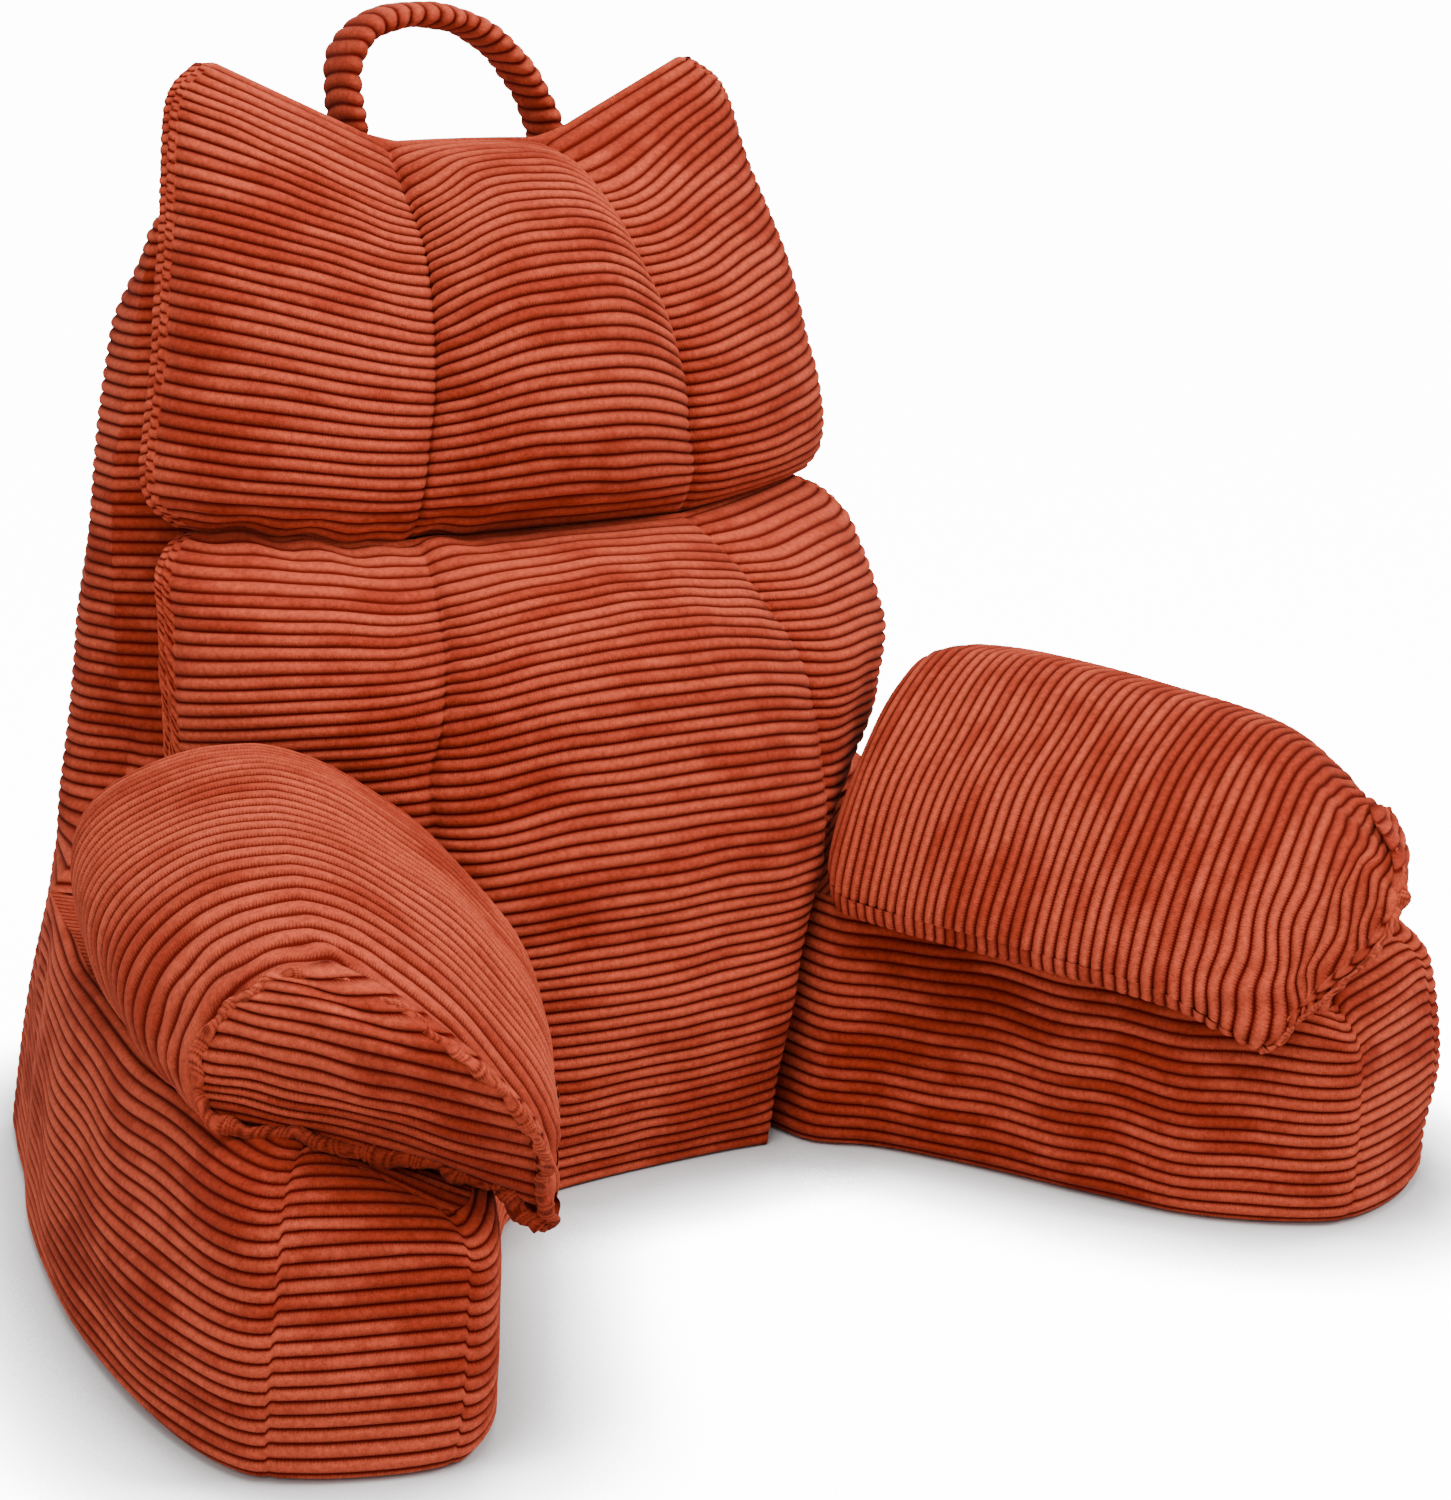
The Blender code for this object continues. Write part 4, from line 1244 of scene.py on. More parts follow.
        upper, up_steps, over = self.upper_rear()
        cloth.sheet(upper, runs_along(upper), up_steps[:, None])
        face = self.front_face(upper, up_steps, over)
        cloth.sheet(face, runs_along(face), up_steps[:, None], flip=True)
        half = face.shape[1] // 2 + 1
        for hand, foot in ((Hand.RIGHT, face[0, :half]), (Hand.LEFT, face[0, ::-1][:half])):
            cloth.sheet(*self.arm_top(*walls[hand], foot), flip=hand is Hand.LEFT)
        half = upper.shape[1] // 2 + 1
        rows = np.linspace(0.0, 1.0, BODY_TOP_ROWS)
        right = resample(upper[-1, :half], rows)
        left = resample(upper[-1, ::-1][:half], rows)
        cloth.sheet(*self.ruled(right, left, 20, 0.0))
        fill_in = cloth.sheet(face[-1:], np.zeros((1, face.shape[1])), np.zeros((1, 1)))
        cloth.close(fill_in[0])
        piece = cloth.sew(f"{self.node}_cover", self.finish.make())
        place_piece(piece, self.node)
        return piece


@dataclass
class ArmPad:
    """A plump pad laid on an arm base, with a D-shaped end panel in a gathered seam.

    Attributes:
        hand: The side it is on.
        finish: Its cloth.
        panel_finish: The cloth of its end panel.
        seed: Picks its unevenness.
        rear_round: Rounding of its rear end, metres.
        front_round: And of its front end.
        rear_start: How far into that rounding the rear end starts.
        front_start: And the front end.
        end_size: Size of both ends, as a share of the full section.
        flank_bend: Power of the inner flank's curve; 2 is an ellipse.
        side_bend: And of the outer side's.
        flap_edge: Where the underside ends, as a share of the inner edge's reach.
        flap_fold: Where its flap folds down, as such a share.
        flap_start: Where it starts to hang, as a share of the reach to the arm's edge.
        sole_reach: Where the flat underside ends, as a share of the outer reach.
        cap_rows: Rows of points on the rear end.
        flank_columns: Columns of points up the inner flank.
        side_columns: And down the outer side.
        belly_columns: And round under it.
        sole_columns: And across the underside.
        lip_columns: And round the flap's lip.
        forward: Which way the sleeve goes on past the last section.
        tip_droop: How far the flap's front tip hangs, metres.
        wale: Pitch of the ribs, metres.
        fan: How much wider the ribs grow towards the front, as a share.
        slump: How far the front end has sunk, metres.
    """

    hand: Hand
    finish: Corduroy
    panel_finish: Corduroy
    seed: int
    rear_round: float = 30.0 * MM
    front_round: float = 9.0 * MM
    rear_start: float = 2.0 * MM
    front_start: float = 4.0 * MM
    end_size: float = 0.55
    flank_bend: float = 1.45
    side_bend: float = 2.0
    flap_edge: float = 0.97
    flap_fold: float = 0.9
    flap_start: float = 1.08
    sole_reach: float = 0.72
    cap_rows: int = 9
    flank_columns: int = 45
    side_columns: int = 27
    belly_columns: int = 9
    sole_columns: int = 12
    lip_columns: int = 6
    forward: tuple[float, float, float] = (0.08, -1.0, 0.0)
    tip_droop: float = 6.0 * MM
    wale: float = WALE
    fan: float = 0.0
    slump: float = 0.0

    @property
    def node(self) -> str:
        """Name of the CAD node that the pad stands for."""
        return f"arm_pad_{self.hand.word}"

    def arm_edges(self, y: Array) -> list[Array]:
        """The x and the height of the arm's inner and outer top edges at places in y."""
        table = np.array(ARM_OUTLINE[1:-2], dtype=float) * MM
        if self.hand is Hand.LEFT:
            table[:, 2] += table[:, 6] * TOP_TUCK
        corner = INNER_CORNER - 1
        edges = (table[corner:, 2:5], table[corner::-1, 2:5])
        return [np.interp(y, edge[:, 1], edge[:, k]) for edge in edges for k in (0, 2)]

    def plane_z(self, x: Array, y: Array) -> Array:
        """Height of the pad's underside over the plane of the arm's sloping top."""
        inner_x, inner_z, outer_x, outer_z = self.arm_edges(y)
        share = (x - inner_x) / np.maximum(outer_x - inner_x, 40.0 * MM)
        return inner_z + (outer_z - inner_z) * share + SEAT_GAP + PAD_LIFT

    def sole_z(self, row: Array, reach: Array, x: Array, y: Array) -> Array:
        """Height of the underside, with its flap hanging past the arm's inner edge.

        Args:
            row: A row of the table of sections.
            reach: Places along the section, metres from its ridge.
            x: The same places' x.
            y: And their y.

        Returns:
            The heights.
        """
        inner, splay = row[3] * MM, math.radians(row[7])
        edge = inner
        for _ in range(4):
            spot_y = row[1] * MM + math.sin(splay) * edge
            edge = (float(self.arm_edges(spot_y)[0]) - row[0] * MM) / math.cos(splay)
        edge = max(edge * self.flap_start, inner * self.flap_fold)
        hang = row[8] * MM * clamp((edge - reach) / (edge - inner))
        return self.plane_z(x, y) - hang

    def section(self, row: Array) -> Array:
        """One D-shaped cross-section on the right-hand side.

        Args:
            row: A row of the table of sections.

        Returns:
            Reach and height round the closed outline, from the flap's lip over the top to
            the underside.
        """
        inner, thickness, outer, outer_z = row[3:7] * MM
        top = row[2] * MM
        splay = math.radians(row[7])

        def sole(reach: Array) -> Array:
            """Height of the underside at places along the section."""
            x = row[0] * MM + math.cos(splay) * reach
            return self.sole_z(row, reach, x, row[1] * MM + math.sin(splay) * reach)

        lip_z = float(sole(np.array(inner))) + thickness
        turn = np.linspace(0.0, math.pi / 2.0, self.flank_columns + 1)[:-1]
        flank = np.stack([
            inner * np.cos(turn) ** (2.0 / self.flank_bend),
            lip_z + (top - lip_z) * np.sin(turn) ** (2.0 / self.flank_bend),
        ], axis=1)
        turn = np.linspace(math.pi / 2.0, 0.0, self.side_columns)
        side = np.stack([
            outer * np.cos(turn) ** (2.0 / self.side_bend),
            outer_z + (top - outer_z) * np.sin(turn) ** (2.0 / self.side_bend),
        ], axis=1)
        low = float(sole(np.array(outer * self.sole_reach)))
        turn = np.linspace(0.0, math.pi / 2.0, self.belly_columns + 2)[1:-1]
        belly = np.stack([
            outer * (self.sole_reach + (1.0 - self.sole_reach) * np.cos(turn) ** 1.15),
            low + (outer_z - low) * (1.0 - np.sin(turn) ** 1.15),
        ], axis=1)
        fold = inner * self.flap_fold
        reach = np.concatenate([
            np.linspace(outer * self.sole_reach, fold, self.sole_columns - 1),
            [inner * self.flap_edge],
        ])
        under = np.stack([reach, sole(reach)], axis=1)
        turn = np.linspace(0.0, math.pi / 2.0, self.lip_columns + 2)[1:-1]
        quarter = np.stack([np.sin(turn), 1.0 - np.cos(turn)], axis=1)
        lip = under[-1] + (flank[0] - under[-1]) * quarter
        return np.concatenate([flank, side, belly, under, lip])

    @staticmethod
    def spots(row: Array, outline: Array) -> Array:
        """Points in space of an outline of reach and height."""
        splay = math.radians(row[7])
        x = row[0] * MM + math.cos(splay) * outline[:, 0]
        y = row[1] * MM + math.sin(splay) * outline[:, 0]
        return np.column_stack([x, y, outline[:, 1]])

    def end_line(self) -> Array:
        """How far ahead of the end section each column of the sleeve ends, metres."""
        outline = self.section(np.array(PAD_ROWS[-1], dtype=float))
        turn = self.flank_columns
        flank = outline[:turn, 1]
        share = (flank - flank[0]) / (outline[turn, 1] - flank[0])
        table = np.array(FLANK_AHEAD)
        ahead = [np.interp(share, table[:, 0], table[:, 1])]
        rest = np.concatenate([outline[turn:], outline[:1]])
        run = run_of(rest)
        table = np.array(SIDE_AHEAD)
        ahead.append(np.interp(run / run[-1], table[:, 0], table[:, 1]))
        line = np.concatenate(ahead) * MM
        padded = np.concatenate([line[-6:-1], line, line[1:6]])
        return np.convolve(padded, np.ones(11) / 11.0, mode="valid")

    def rib_places(self, length: float, reach: float) -> tuple[Array, Array]:
        """Where the sleeve's rows of points lie.

        Args:
            length: Length of the pad's ridge.
            reach: How far from its rear end the sleeve has to go.

        Returns:
            Places of the rows, in wales and in metres from the rear end.
        """
        fine = np.linspace(0.0, reach + 20.0 * MM, 400)
        wider = self.fan * np.interp(fine / length, [0.0, 0.4, 1.0], [-0.25, 0.0, 1.0])
        pitch = self.wale * (1.0 + wider)
        counted = np.concatenate([[0.0], np.cumsum(np.diff(fine) / pitch[1:])])
        count = int(math.ceil(np.interp(reach + 4.0 * MM, fine, counted)))
        steps = wale_rows(count, Crown.ON_THE_COUNT)
        return steps, np.interp(steps, counted, fine)

    def base_grid(self, ruler: Ruler, distance: Array, near: Array) -> tuple[Array, Array]:
        """The sleeve before its ribs and gathers, rounded at both ends.

        Args:
            ruler: Measures the table of sections.
            distance: Metres of the rows from the rear end.
            near: Metres from the front end, rows by columns.

        Returns:
            The grid of points and the metres along its rows.
        """
        rows = rail(PAD_ROWS, ruler.at(np.minimum(distance / ruler.length, 1.0)))
        outlines = np.array([self.section(row) for row in rows])
        outlines = np.concatenate([outlines, outlines[:, :1]], axis=1)
        centre = outlines.min(axis=1, keepdims=True) * 0.5
        centre = centre + outlines.max(axis=1, keepdims=True) * 0.5
        rear = quarter_round(distance + self.rear_start, self.rear_round)[:, None]
        front = quarter_round(near + self.front_start, self.front_round)
        rest = 1.0 - self.end_size
        scale = self.end_size + rest * np.minimum(rear, self.end_size + rest * front)
        outlines = centre + (outlines - centre) * scale[..., None]
        base = np.array([self.spots(row, outline) for row, outline in zip(rows, outlines)])
        beyond = np.maximum(distance - ruler.length, 0.0)[:, None, None]
        base = base + beyond * np.array(self.forward)
        along = runs_along(base)
        columns = np.arange(base.shape[1])
        from_lip = np.minimum(columns, columns[::-1]) * PAD_COLUMN
        base[..., 2] -= self.tip_droop * fade(from_lip, 14.0 * MM) * fade(near, 30.0 * MM)
        shoulder = np.interp(columns, [24, 38, 58, 74], [0.0, 1.0, 1.0, 0.0])
        base[..., 2] -= self.slump * shoulder * fade(near, 36.0 * MM)
        return base, along

    def relief(
        self, base: Array, along: Array, distance: Array, near: Array, steps: Array,
    ) -> tuple[Array, Array, Array]:
        """Gather the sleeve towards its front end and give it ribs and lumps.

        Args:
            base: The grid of points before.
            along: Metres along its rows.
            distance: Metres of the rows from the rear end.
            near: Metres from the front end, rows by columns.
            steps: Places of the rows, in wales.

        Returns:
            The finished points, the gathered points before the ribs, and the direction
            towards the front at each.
        """
        columns = np.arange(base.shape[1])
        low = fade((columns - 10.0) * PAD_COLUMN, 52.0 * MM)[None, :]
        bunch = fade(near, 40.0 * MM) * clamp(near / (6.0 * MM))
        wave = bunch * (0.5 + 2.1 * low) * ripple(along, near * 0.5, 25.0 * MM, self.seed)
        calm = clamp(steps / 2.0)[:, None]
        wander = ripple(along, distance[:, None], 75.0 * MM, self.seed + 1)
        wave = wave * 2.0 * MM + calm * 0.7 * MM * wander
        ahead = unit(np.gradient(base, axis=0), NEARLY_NOTHING)
        base = base + ahead * wave[..., None]

        normals = outward(base, 1.0)
        normals[:, 0] = normals[:, -1] = (normals[:, 0] + normals[:, -1]) * 0.5
        first_under = self.flank_columns + self.side_columns + self.belly_columns
        under = (columns >= first_under) & (columns < len(columns) - 5)
        deeper = 1.0 + 0.6 * fade(columns * PAD_COLUMN, 9.0 * MM)
        depth = RIB_DEPTH * np.where(under, 0.35, 1.0) * deeper
        height = rib_height(steps, Crown.ON_THE_COUNT)[:, None]
        lumps = 1.0 * MM * ripple(along, distance[:, None], 70.0 * MM, self.seed + 2)
        puckers = ripple(along, near, 24.0 * MM, self.seed + 3)
        lumps = lumps + (1.0 + 1.6 * low) * bunch * MM * puckers
        lumps = np.where(under, 0.0, lumps)
        points = base + normals * (lumps - depth[None, :] * (1.0 - height))[..., None]
        return points, base, ahead

    def sleeve(self, cloth: Cloth) -> Array:
        """Add the ribbed sleeve and its rear end.

        Args:
            cloth: What the sheets are sewn into.

        Returns:
            The smooth rim of its front end, on the right-hand side.
        """
        ruler = Ruler(PAD_ROWS, [0, 1, 2])
        end = ruler.length + self.end_line()
        steps, distance = self.rib_places(ruler.length, float(end.max()))
        near = np.maximum(end[None, :] - distance[:, None], 0.0)
        base, along = self.base_grid(ruler, distance, near)
        points, base, ahead = self.relief(base, along, distance, near, steps)
        wales = np.broadcast_to(steps[:, None], along.shape)
        points, base, wales = self.cut(distance, end, points, base, wales)

        rear_ring, away = base[0], ahead[0, 0] * (1.0, 1.0, 0.0)
        middle = rear_ring.mean(axis=0)
        left_over = np.arange(self.cap_rows, 0, -1.0)[:, None]
        turn = (left_over / self.cap_rows * math.pi / 2.0)[..., None]
        caps = middle + (rear_ring - middle) * (np.cos(turn) + 0.001)
        caps = caps - away * 8.0 * MM * np.sin(turn)
        rim = base[-1]
        middle = rim.mean(axis=0)
        sunk = middle + (rim - middle) * 0.7 + (0.0, 32.0 * MM, 0.0)
        points = np.concatenate([caps, points, sunk[None]])
        wales = np.concatenate([wales[:1] - left_over, wales, wales[-1:]])
        along = np.concatenate([np.repeat(along[:1], self.cap_rows, axis=0), along, along[-1:]])
        points[..., 0] *= self.hand.value
        index = cloth.sheet(points, along, wales, flip=self.hand is Hand.LEFT)
        cloth.close(index[-1][:-1])
        return rim

    @staticmethod
    def cut(distance: Array, end: Array, *grids: Array) -> list[Array]:
        """Cut grids along an oblique line: past its column's end a row stays where it is."""
        out = []
        for grid in grids:
            deep = grid[..., None] if grid.ndim == 2 else grid
            trimmed = np.empty(deep.shape)
            for column in range(deep.shape[1]):
                spots = np.minimum(distance, end[column])
                for k in range(deep.shape[2]):
                    trimmed[:, column, k] = np.interp(spots, distance, deep[:, column, k])
            out.append(trimmed.reshape(grid.shape))
        return out

    @staticmethod
    def at_level(curve: Array, level: Array) -> Array:
        """Points of a rising curve at shares of its height."""
        climb = np.maximum.accumulate(curve[:, 2]) + np.arange(len(curve)) * 1e-9
        climb = (climb - climb[0]) / (climb[-1] - climb[0])
        return np.stack([np.interp(level, climb, curve[:, k]) for k in range(3)], axis=1)

    def end_panel(self, rim: Array) -> bpy.types.Object:
        """The D-shaped panel at the front, its ribs parallel to the underside.

        Args:
            rim: Points of the sleeve's front rim.

        Returns:
            The piece.
        """
        top = self.flank_columns
        flank, side = rim[:top + 1], rim[top:top + self.side_columns + self.belly_columns][::-1]
        tall = float(flank[-1, 2] - (flank[0, 2] + side[0, 2]) / 2.0)

        fine = np.linspace(0.0, 0.999, 300)
        first, last = self.at_level(flank, fine), self.at_level(side, fine)
        run = run_of((first * 0.7 + last * 0.3)[:, 1:])
        count = int(round(float(run[-1]) / PANEL_WALE))
        steps = wale_rows(count, Crown.BETWEEN_COUNTS)
        level = np.interp(steps / count * run[-1], run, fine)
        first, last = self.at_level(flank, level), self.at_level(side, level)
        shares = np.linspace(0.0, 1.0, 37)
        grid = first[:, None, :] + (last - first)[:, None, :] * shares[None, :, None]
        plan = grid[..., :2]
        chord = unit((last - first)[:, :2], NEARLY_NOTHING)
        ahead = np.stack([chord[:, 1], -chord[:, 0]], axis=1)[:, None, :]
        reach = np.linalg.norm(plan - plan[:, :1], axis=2)
        middle = (4.0 * shares * (1.0 - shares))[None, :]
        sway = 0.16 * WALE * ripple(reach, level[:, None] * tall, 45.0 * MM, self.seed + 5)
        z = grid[..., 2] + 2.0 * MM + sway + 6.0 * MM * middle * (1.0 - level[:, None])
        side = np.minimum(middle, 1.0) ** 0.6
        rise = clamp(4.0 * level * (1.0 - level))[:, None] ** 0.5
        ribs = RIB_DEPTH * (1.0 - rib_height(steps, Crown.BETWEEN_COUNTS))[:, None]
        lumps = 1.2 * MM * ripple(reach, level[:, None] * tall, 40.0 * MM, self.seed + 6)
        push = 8.0 * MM * side * rise - ribs + lumps - 1.0 * MM
        points = np.concatenate([plan + ahead * push[..., None], z[..., None]], axis=2)
        inner = np.concatenate([plan - ahead * 4.0 * MM, z[..., None]], axis=2)
        for grid in (points, inner):
            grid[..., 0] *= self.hand.value
        cloth = Cloth()
        front = cloth.sheet(points, reach, (steps - 0.5)[:, None], flip=self.hand is Hand.RIGHT)
        back = cloth.sheet(inner, reach, (steps - 0.5)[:, None], flip=self.hand is Hand.LEFT)
        for edge in (np.s_[:, 0], np.s_[:, -1], np.s_[0], np.s_[-1]):
            cloth.zip_up(front[edge], back[edge])
        piece = cloth.sew(f"{self.node}_end_panel", self.panel_finish.make())
        place_piece(piece, self.node, stands_for=False)
        return piece

    def end_seam(self, rim: Array) -> bpy.types.Object:
        """The puckered fold of cloth round the end panel, flat and uneven.

        Args:
            rim: Points of the sleeve's front rim.

        Returns:
            The piece.
        """
        puckers = int(round(float(run_of(rim)[-1]) / SEAM_PUCKER))
        steps = np.linspace(0.0, puckers, puckers * 9 + 1)
        share = steps / puckers
        line = resample(rim, share)
        run = np.gradient(line, axis=0)
        run[0] = run[-1] = run[1] + run[-2]
        ahead = unit(np.array(SEAM_AHEAD))
        out = np.cross(ahead, unit(run))
        out *= np.sign(np.sum(out * (line - rim.mean(axis=0)), axis=1, keepdims=True))
        out = unit(out)

        def waves(*parts: tuple[float, int, float]) -> Array:
            """Waves round the seam, each given as its size, its crests and its start."""
            turn = TAU * share
            own = 0.1 * self.seed
            return sum(size * np.sin(turn * crests + start + own) for size, crests, start in parts)

        below = np.interp(share, *np.array(SEAM_BELOW).T)
        wander = waves((1.0, 9, 0.4), (0.8, 17, 1.9), (0.6, 31, 0.2))
        jut = waves((0.8, 11, 2.4), (0.8, 21, 0.9), (0.5, 37, 1.2))
        width = (2.4 + 2.2 * below + waves((0.6, 13, 1.0), (0.4, 29, 2.2))) * MM
        thick = (1.7 + 1.2 * below + waves((0.4, 19, 0.3))) * MM
        line = line - out * ((0.9 + (0.4 + below) * 0.8 * wander) * MM)[:, None]
        line = line + ahead * ((0.4 + 0.7 * jut * (0.5 + below)) * MM)[:, None]
        angles = np.linspace(0.0, TAU, 17)
        phase = steps + waves((0.30, 23, 0.7), (0.22, 41, 0.1))
        phase = phase[:, None] + 0.35 * np.sin(angles)[None, :]
        deep = (0.16 + 0.14 * below + waves((0.08, 27, 1.4)))[:, None]
        size = 1.0 - deep * (1.0 - rib_height(phase, Crown.ON_THE_COUNT))
        tilt = waves((0.7, 7, 1.1), (0.5, 15, 0.6))[:, None]
        wide = np.cos(angles) * width[:, None] * size
        high = np.sin(angles) * thick[:, None] * size
        turned_out = (wide * np.cos(tilt) - high * np.sin(tilt))[..., None]
        turned_ahead = (wide * np.sin(tilt) + high * np.cos(tilt))[..., None]
        points = line[:, None, :] + out[:, None, :] * turned_out + ahead * turned_ahead
        points[..., 0] *= self.hand.value
        cloth = Cloth()
        along = np.broadcast_to(angles / TAU * 20.0 * MM, points.shape[:2])
        # these wales put faint painted shade from the groove colour at two places in each pucker
        cloth.sheet(points, along, 0.40 * np.cos(TAU * phase))
        piece = cloth.sew(f"{self.node}_end_seam", self.finish.make())
        place_piece(piece, self.node, stands_for=False)
        return piece

    def build(self) -> None:
        """Cut and sew the pad, its end panel and its end seam."""
        cloth = Cloth()
        rim = self.sleeve(cloth)
        piece = cloth.sew(f"{self.node}_cover", self.finish.make())
        place_piece(piece, self.node)
        self.end_panel(rim)
        self.end_seam(rim)


@dataclass
class CarryHandle:
    """The gathered loop of cloth on the top edge.

    Attributes:
        node: The CAD node that it stands for.
        finish: Its cloth.
        half_thick: Half its thickness, metres.
        half_wide: Half its width.
        gather: Pitch of its gathers.
        pinch: Depth between them.
        y: Its place on the body's top.
        sides: Points round it.
    """

    node: str
    finish: Corduroy
    half_thick: float = 6.9 * MM
    half_wide: float = 17.6 * MM
    gather: float = 8.0 * MM
    pinch: float = 2.2 * MM
    y: float = 171.0 * MM
    sides: int = 32

    def build(self) -> bpy.types.Object:
        """Sew the tube along its centre line."""
        ruler = Ruler(HANDLE_LINE, [0, 1])
        count = int(round(ruler.length / self.gather))
        steps = wale_rows(count, Crown.ON_THE_COUNT)
        line = rail(HANDLE_LINE, ruler.at(steps / count)) * MM
        line[:, 1] += SEAT_GAP
        run = np.gradient(line, axis=0)
        run[0], run[-1] = (0.0, 1.0), (0.0, -1.0)
        run = unit(run)
        angles = np.linspace(0.0, TAU, self.sides + 1)
        slant = 0.30 * np.sin(angles + 0.6)[None, :]
        wobble = 0.15 * np.sin(2.0 * angles + 1.0)[None, :] * np.sin(steps * 0.9)[:, None]
        wales = steps[:, None] + slant + wobble
        swell = 0.35 * MM * np.sin(steps * 1.7 + 0.5)[:, None]
        dent = self.pinch * (1.0 - rib_height(wales, Crown.ON_THE_COUNT)) - swell
        across = np.sign(np.cos(angles)) * np.abs(np.cos(angles)) ** 0.8
        across = across * (self.half_thick - 0.8 * dent)
        points = np.empty((len(steps), len(angles), 3))
        points[..., 0] = line[:, 0:1] + run[:, 1:2] * across
        points[..., 1] = self.y + np.sin(angles) * (self.half_wide - dent)
        points[..., 2] = line[:, 1:2] - run[:, 0:1] * across
        cloth = Cloth()
        along = np.broadcast_to(angles * self.half_wide, points.shape[:2])
        index = cloth.sheet(points, along, wales)
        cloth.close(index[0][:-1])
        cloth.close(index[-1][:-1], flip=True)
        piece = cloth.sew(f"{self.node}_cover", self.finish.make())
        place_piece(piece, self.node)
        return piece


@dataclass(frozen=True)
class SoftLight:
    """A square area light that faces the pillow; its place and size are in metres."""

    name: str
    place: tuple[float, float, float]
    size: float
    power: float


LIGHTS = (
    SoftLight("key light", (1.3, -1.5, 2.2), size=1.0, power=60.0),
    SoftLight("fill light", (-2.2, -1.6, 1.4), size=2.0, power=20.0),
    SoftLight("overhead light", (-0.5, -0.7, 2.4), size=1.2, power=42.0),
)


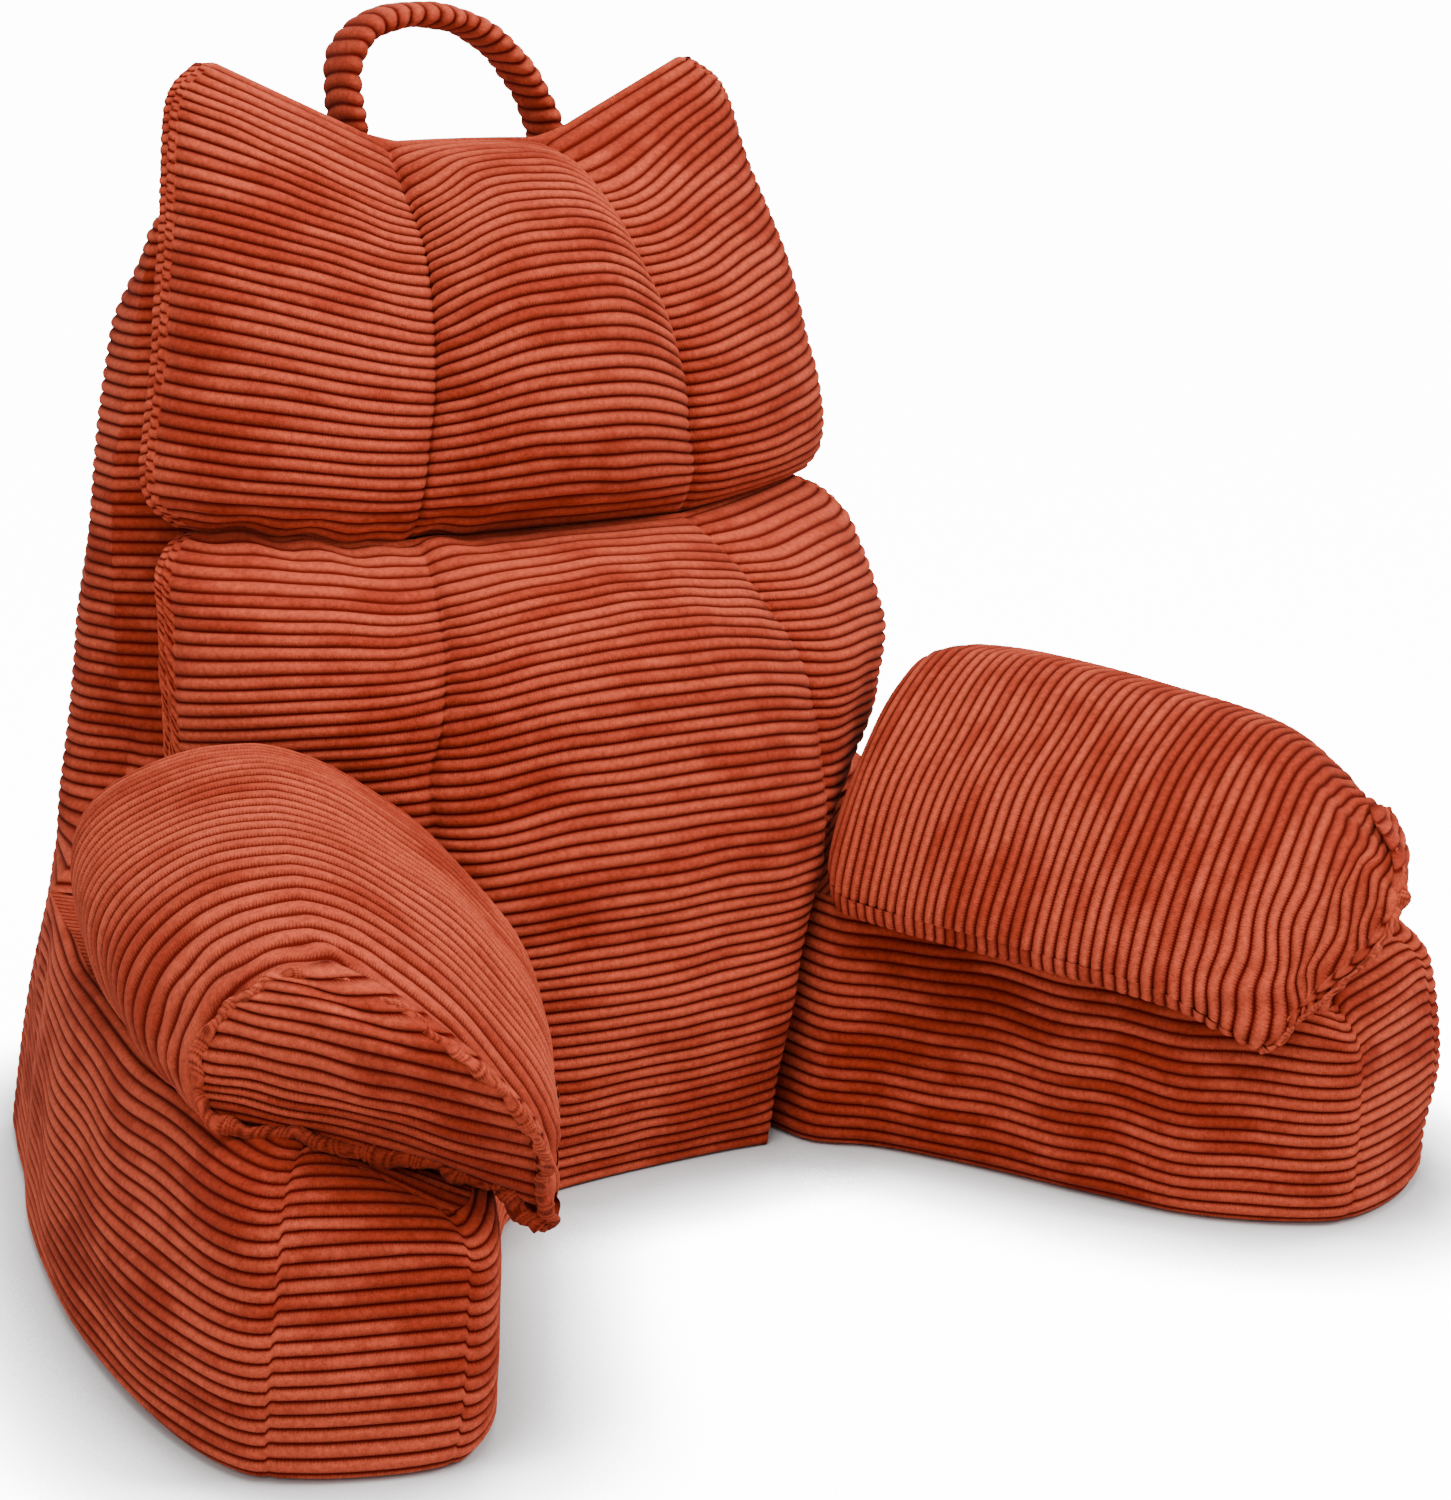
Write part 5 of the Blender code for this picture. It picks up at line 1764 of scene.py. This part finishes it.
@dataclass
class Studio:
    """A pale floor with a painted contact shadow, soft light and the camera at the photograph's
    place.

    Attributes:
        camera_place: Where the camera stands, metres.
        tilt: How far it looks down, degrees.
        heading: Which way it looks in plan, degrees.
        lens: Its focal length, millimetres.
        white: Brightness of the background as the camera sees it.
        ambient: Brightness of the surroundings as light.
        shadow_reach: How far from the pillow the painted contact shadow on the floor reaches,
            metres.
        shadow_fall_off: How fast that painted shadow fades.
    """

    camera_place: tuple[float, float, float] = (-0.8210, -1.3593, 0.5840)
    tilt: float = 13.2
    heading: float = -33.14
    lens: float = 77.60
    white: float = 14.0
    ambient: float = 0.62
    shadow_reach: float = 0.09
    shadow_fall_off: float = 7.0

    def camera(self) -> None:
        """Set up the camera."""
        data = bpy.data.cameras.new("camera")
        data.lens = self.lens
        data.sensor_width = 36.0
        eye = bpy.data.objects.new("camera", data)
        eye.location = self.camera_place
        eye.rotation_euler = (math.radians(90.0 - self.tilt), 0.0, math.radians(self.heading))
        bpy.context.collection.objects.link(eye)
        bpy.context.scene.camera = eye

    @staticmethod
    def lamp(light: SoftLight) -> None:
        """Hang a light and turn it to the middle of the pillow."""
        data = bpy.data.lights.new(light.name, "AREA")
        data.shape = "SQUARE"
        data.size = light.size
        data.energy = light.power
        lamp = bpy.data.objects.new(light.name, data)
        lamp.location = light.place
        x, y, z = np.array((0.0, 0.0, 0.2)) - np.array(light.place)
        lamp.rotation_euler = (math.atan2(math.hypot(x, y), -z), 0.0, math.atan2(-x, y))
        bpy.context.collection.objects.link(lamp)

    def floor(self) -> None:
        """Lay the pale floor. For the camera alone it glows white, and ambient occlusion darkens
        that glow near the pillow into a painted contact shadow.
        """
        mesh = bpy.data.meshes.new("floor")
        reach, level = 12.0, -0.6 * MM
        corners = [(x * reach, y * reach, level) for x, y in ((-1, -1), (1, -1), (1, 1), (-1, 1))]
        mesh.from_pydata(corners, [], [(0, 1, 2, 3)])
        material = bpy.data.materials.new("pale floor")
        material.use_nodes = True
        sheet = NodeSheet(material.node_tree)
        shader = material.node_tree.nodes["Principled BSDF"]
        shader.inputs["Base Color"].default_value = (0.6, 0.6, 0.6, 1.0)
        shader.inputs["Roughness"].default_value = 0.9
        shader.inputs["Specular IOR Level"].default_value = 0.0
        seen = sheet.add("ShaderNodeLightPath").outputs["Is Camera Ray"]
        # painted contact shadow: ambient occlusion darkens the floor's camera-only glow near the
        # pillow
        openness = sheet.add("ShaderNodeAmbientOcclusion", {"Distance": self.shadow_reach}, samples=8)
        shade = sheet.math("POWER", openness.outputs["AO"], self.shadow_fall_off)
        painted_shadow_glow = sheet.math("MULTIPLY", shade, sheet.math("MULTIPLY", seen, self.white))
        shader.inputs["Emission Color"].default_value = (1.0, 1.0, 1.0, 1.0)
        material.node_tree.links.new(painted_shadow_glow, shader.inputs["Emission Strength"])
        mesh.materials.append(material)
        floor = bpy.data.objects.new("floor", mesh)
        bpy.context.collection.objects.link(floor)

    def build(self) -> None:
        """Set up everything round the pillow."""
        self.camera()
        self.floor()
        for light in LIGHTS:
            self.lamp(light)
        world = bpy.data.worlds.new("studio")
        world.use_nodes = True
        sheet = NodeSheet(world.node_tree)
        background = world.node_tree.nodes["Background"]
        background.inputs["Color"].default_value = (1.0, 1.0, 1.0, 1.0)
        seen = sheet.add("ShaderNodeLightPath").outputs["Is Camera Ray"]
        strength = sheet.math("MULTIPLY_ADD", seen, self.white - self.ambient, self.ambient)
        world.node_tree.links.new(strength, background.inputs["Strength"])
        bpy.context.scene.world = world


def main() -> None:
    """Build the pillow piece by piece, then the studio."""
    logging.basicConfig(level=logging.INFO, format="%(name)s: %(message)s")
    shaded = Corduroy("body corduroy", brushed_share=0.85)
    BoxedBody("body", shaded).build()
    ChannelCushion(
        "head_cushion", HEAD_ROWS, Corduroy("head corduroy"), thick_foot=False, fill=0.7, seed=10,
        foot_pucker=1.0, top_hem=4.0 * MM, seam_sag=(15.0 * MM, 1.0 * MM),
    ).build()
    ChannelCushion(
        "lumbar_cushion", LUMBAR_ROWS, Corduroy("lumbar corduroy"), thick_foot=True, fill=0.7,
        seed=20, top_pucker=1.0, foot_hem=0.0, seam_sag=(9.0 * MM, 0.0), side_slope=34.0 * MM,
    ).build()
    for hand, seed in ((Hand.LEFT, 100), (Hand.RIGHT, 120)):
        sleeve = Corduroy(f"{hand.word} pad corduroy", notches=1.0)
        panel = Corduroy(f"{hand.word} pad end corduroy", notches=0.8, brushed_share=0.9)
        slump, wale, fan = (14.0 * MM, WALE, 0.0) if hand is Hand.RIGHT else (0.0, 8.8 * MM, 0.4)
        ArmPad(hand, sleeve, panel, seed, slump=slump, wale=wale, fan=fan).build()
    CarryHandle("carry_handle", Corduroy("handle corduroy")).build()
    Studio().build()


if __name__ == "__main__":
    main()
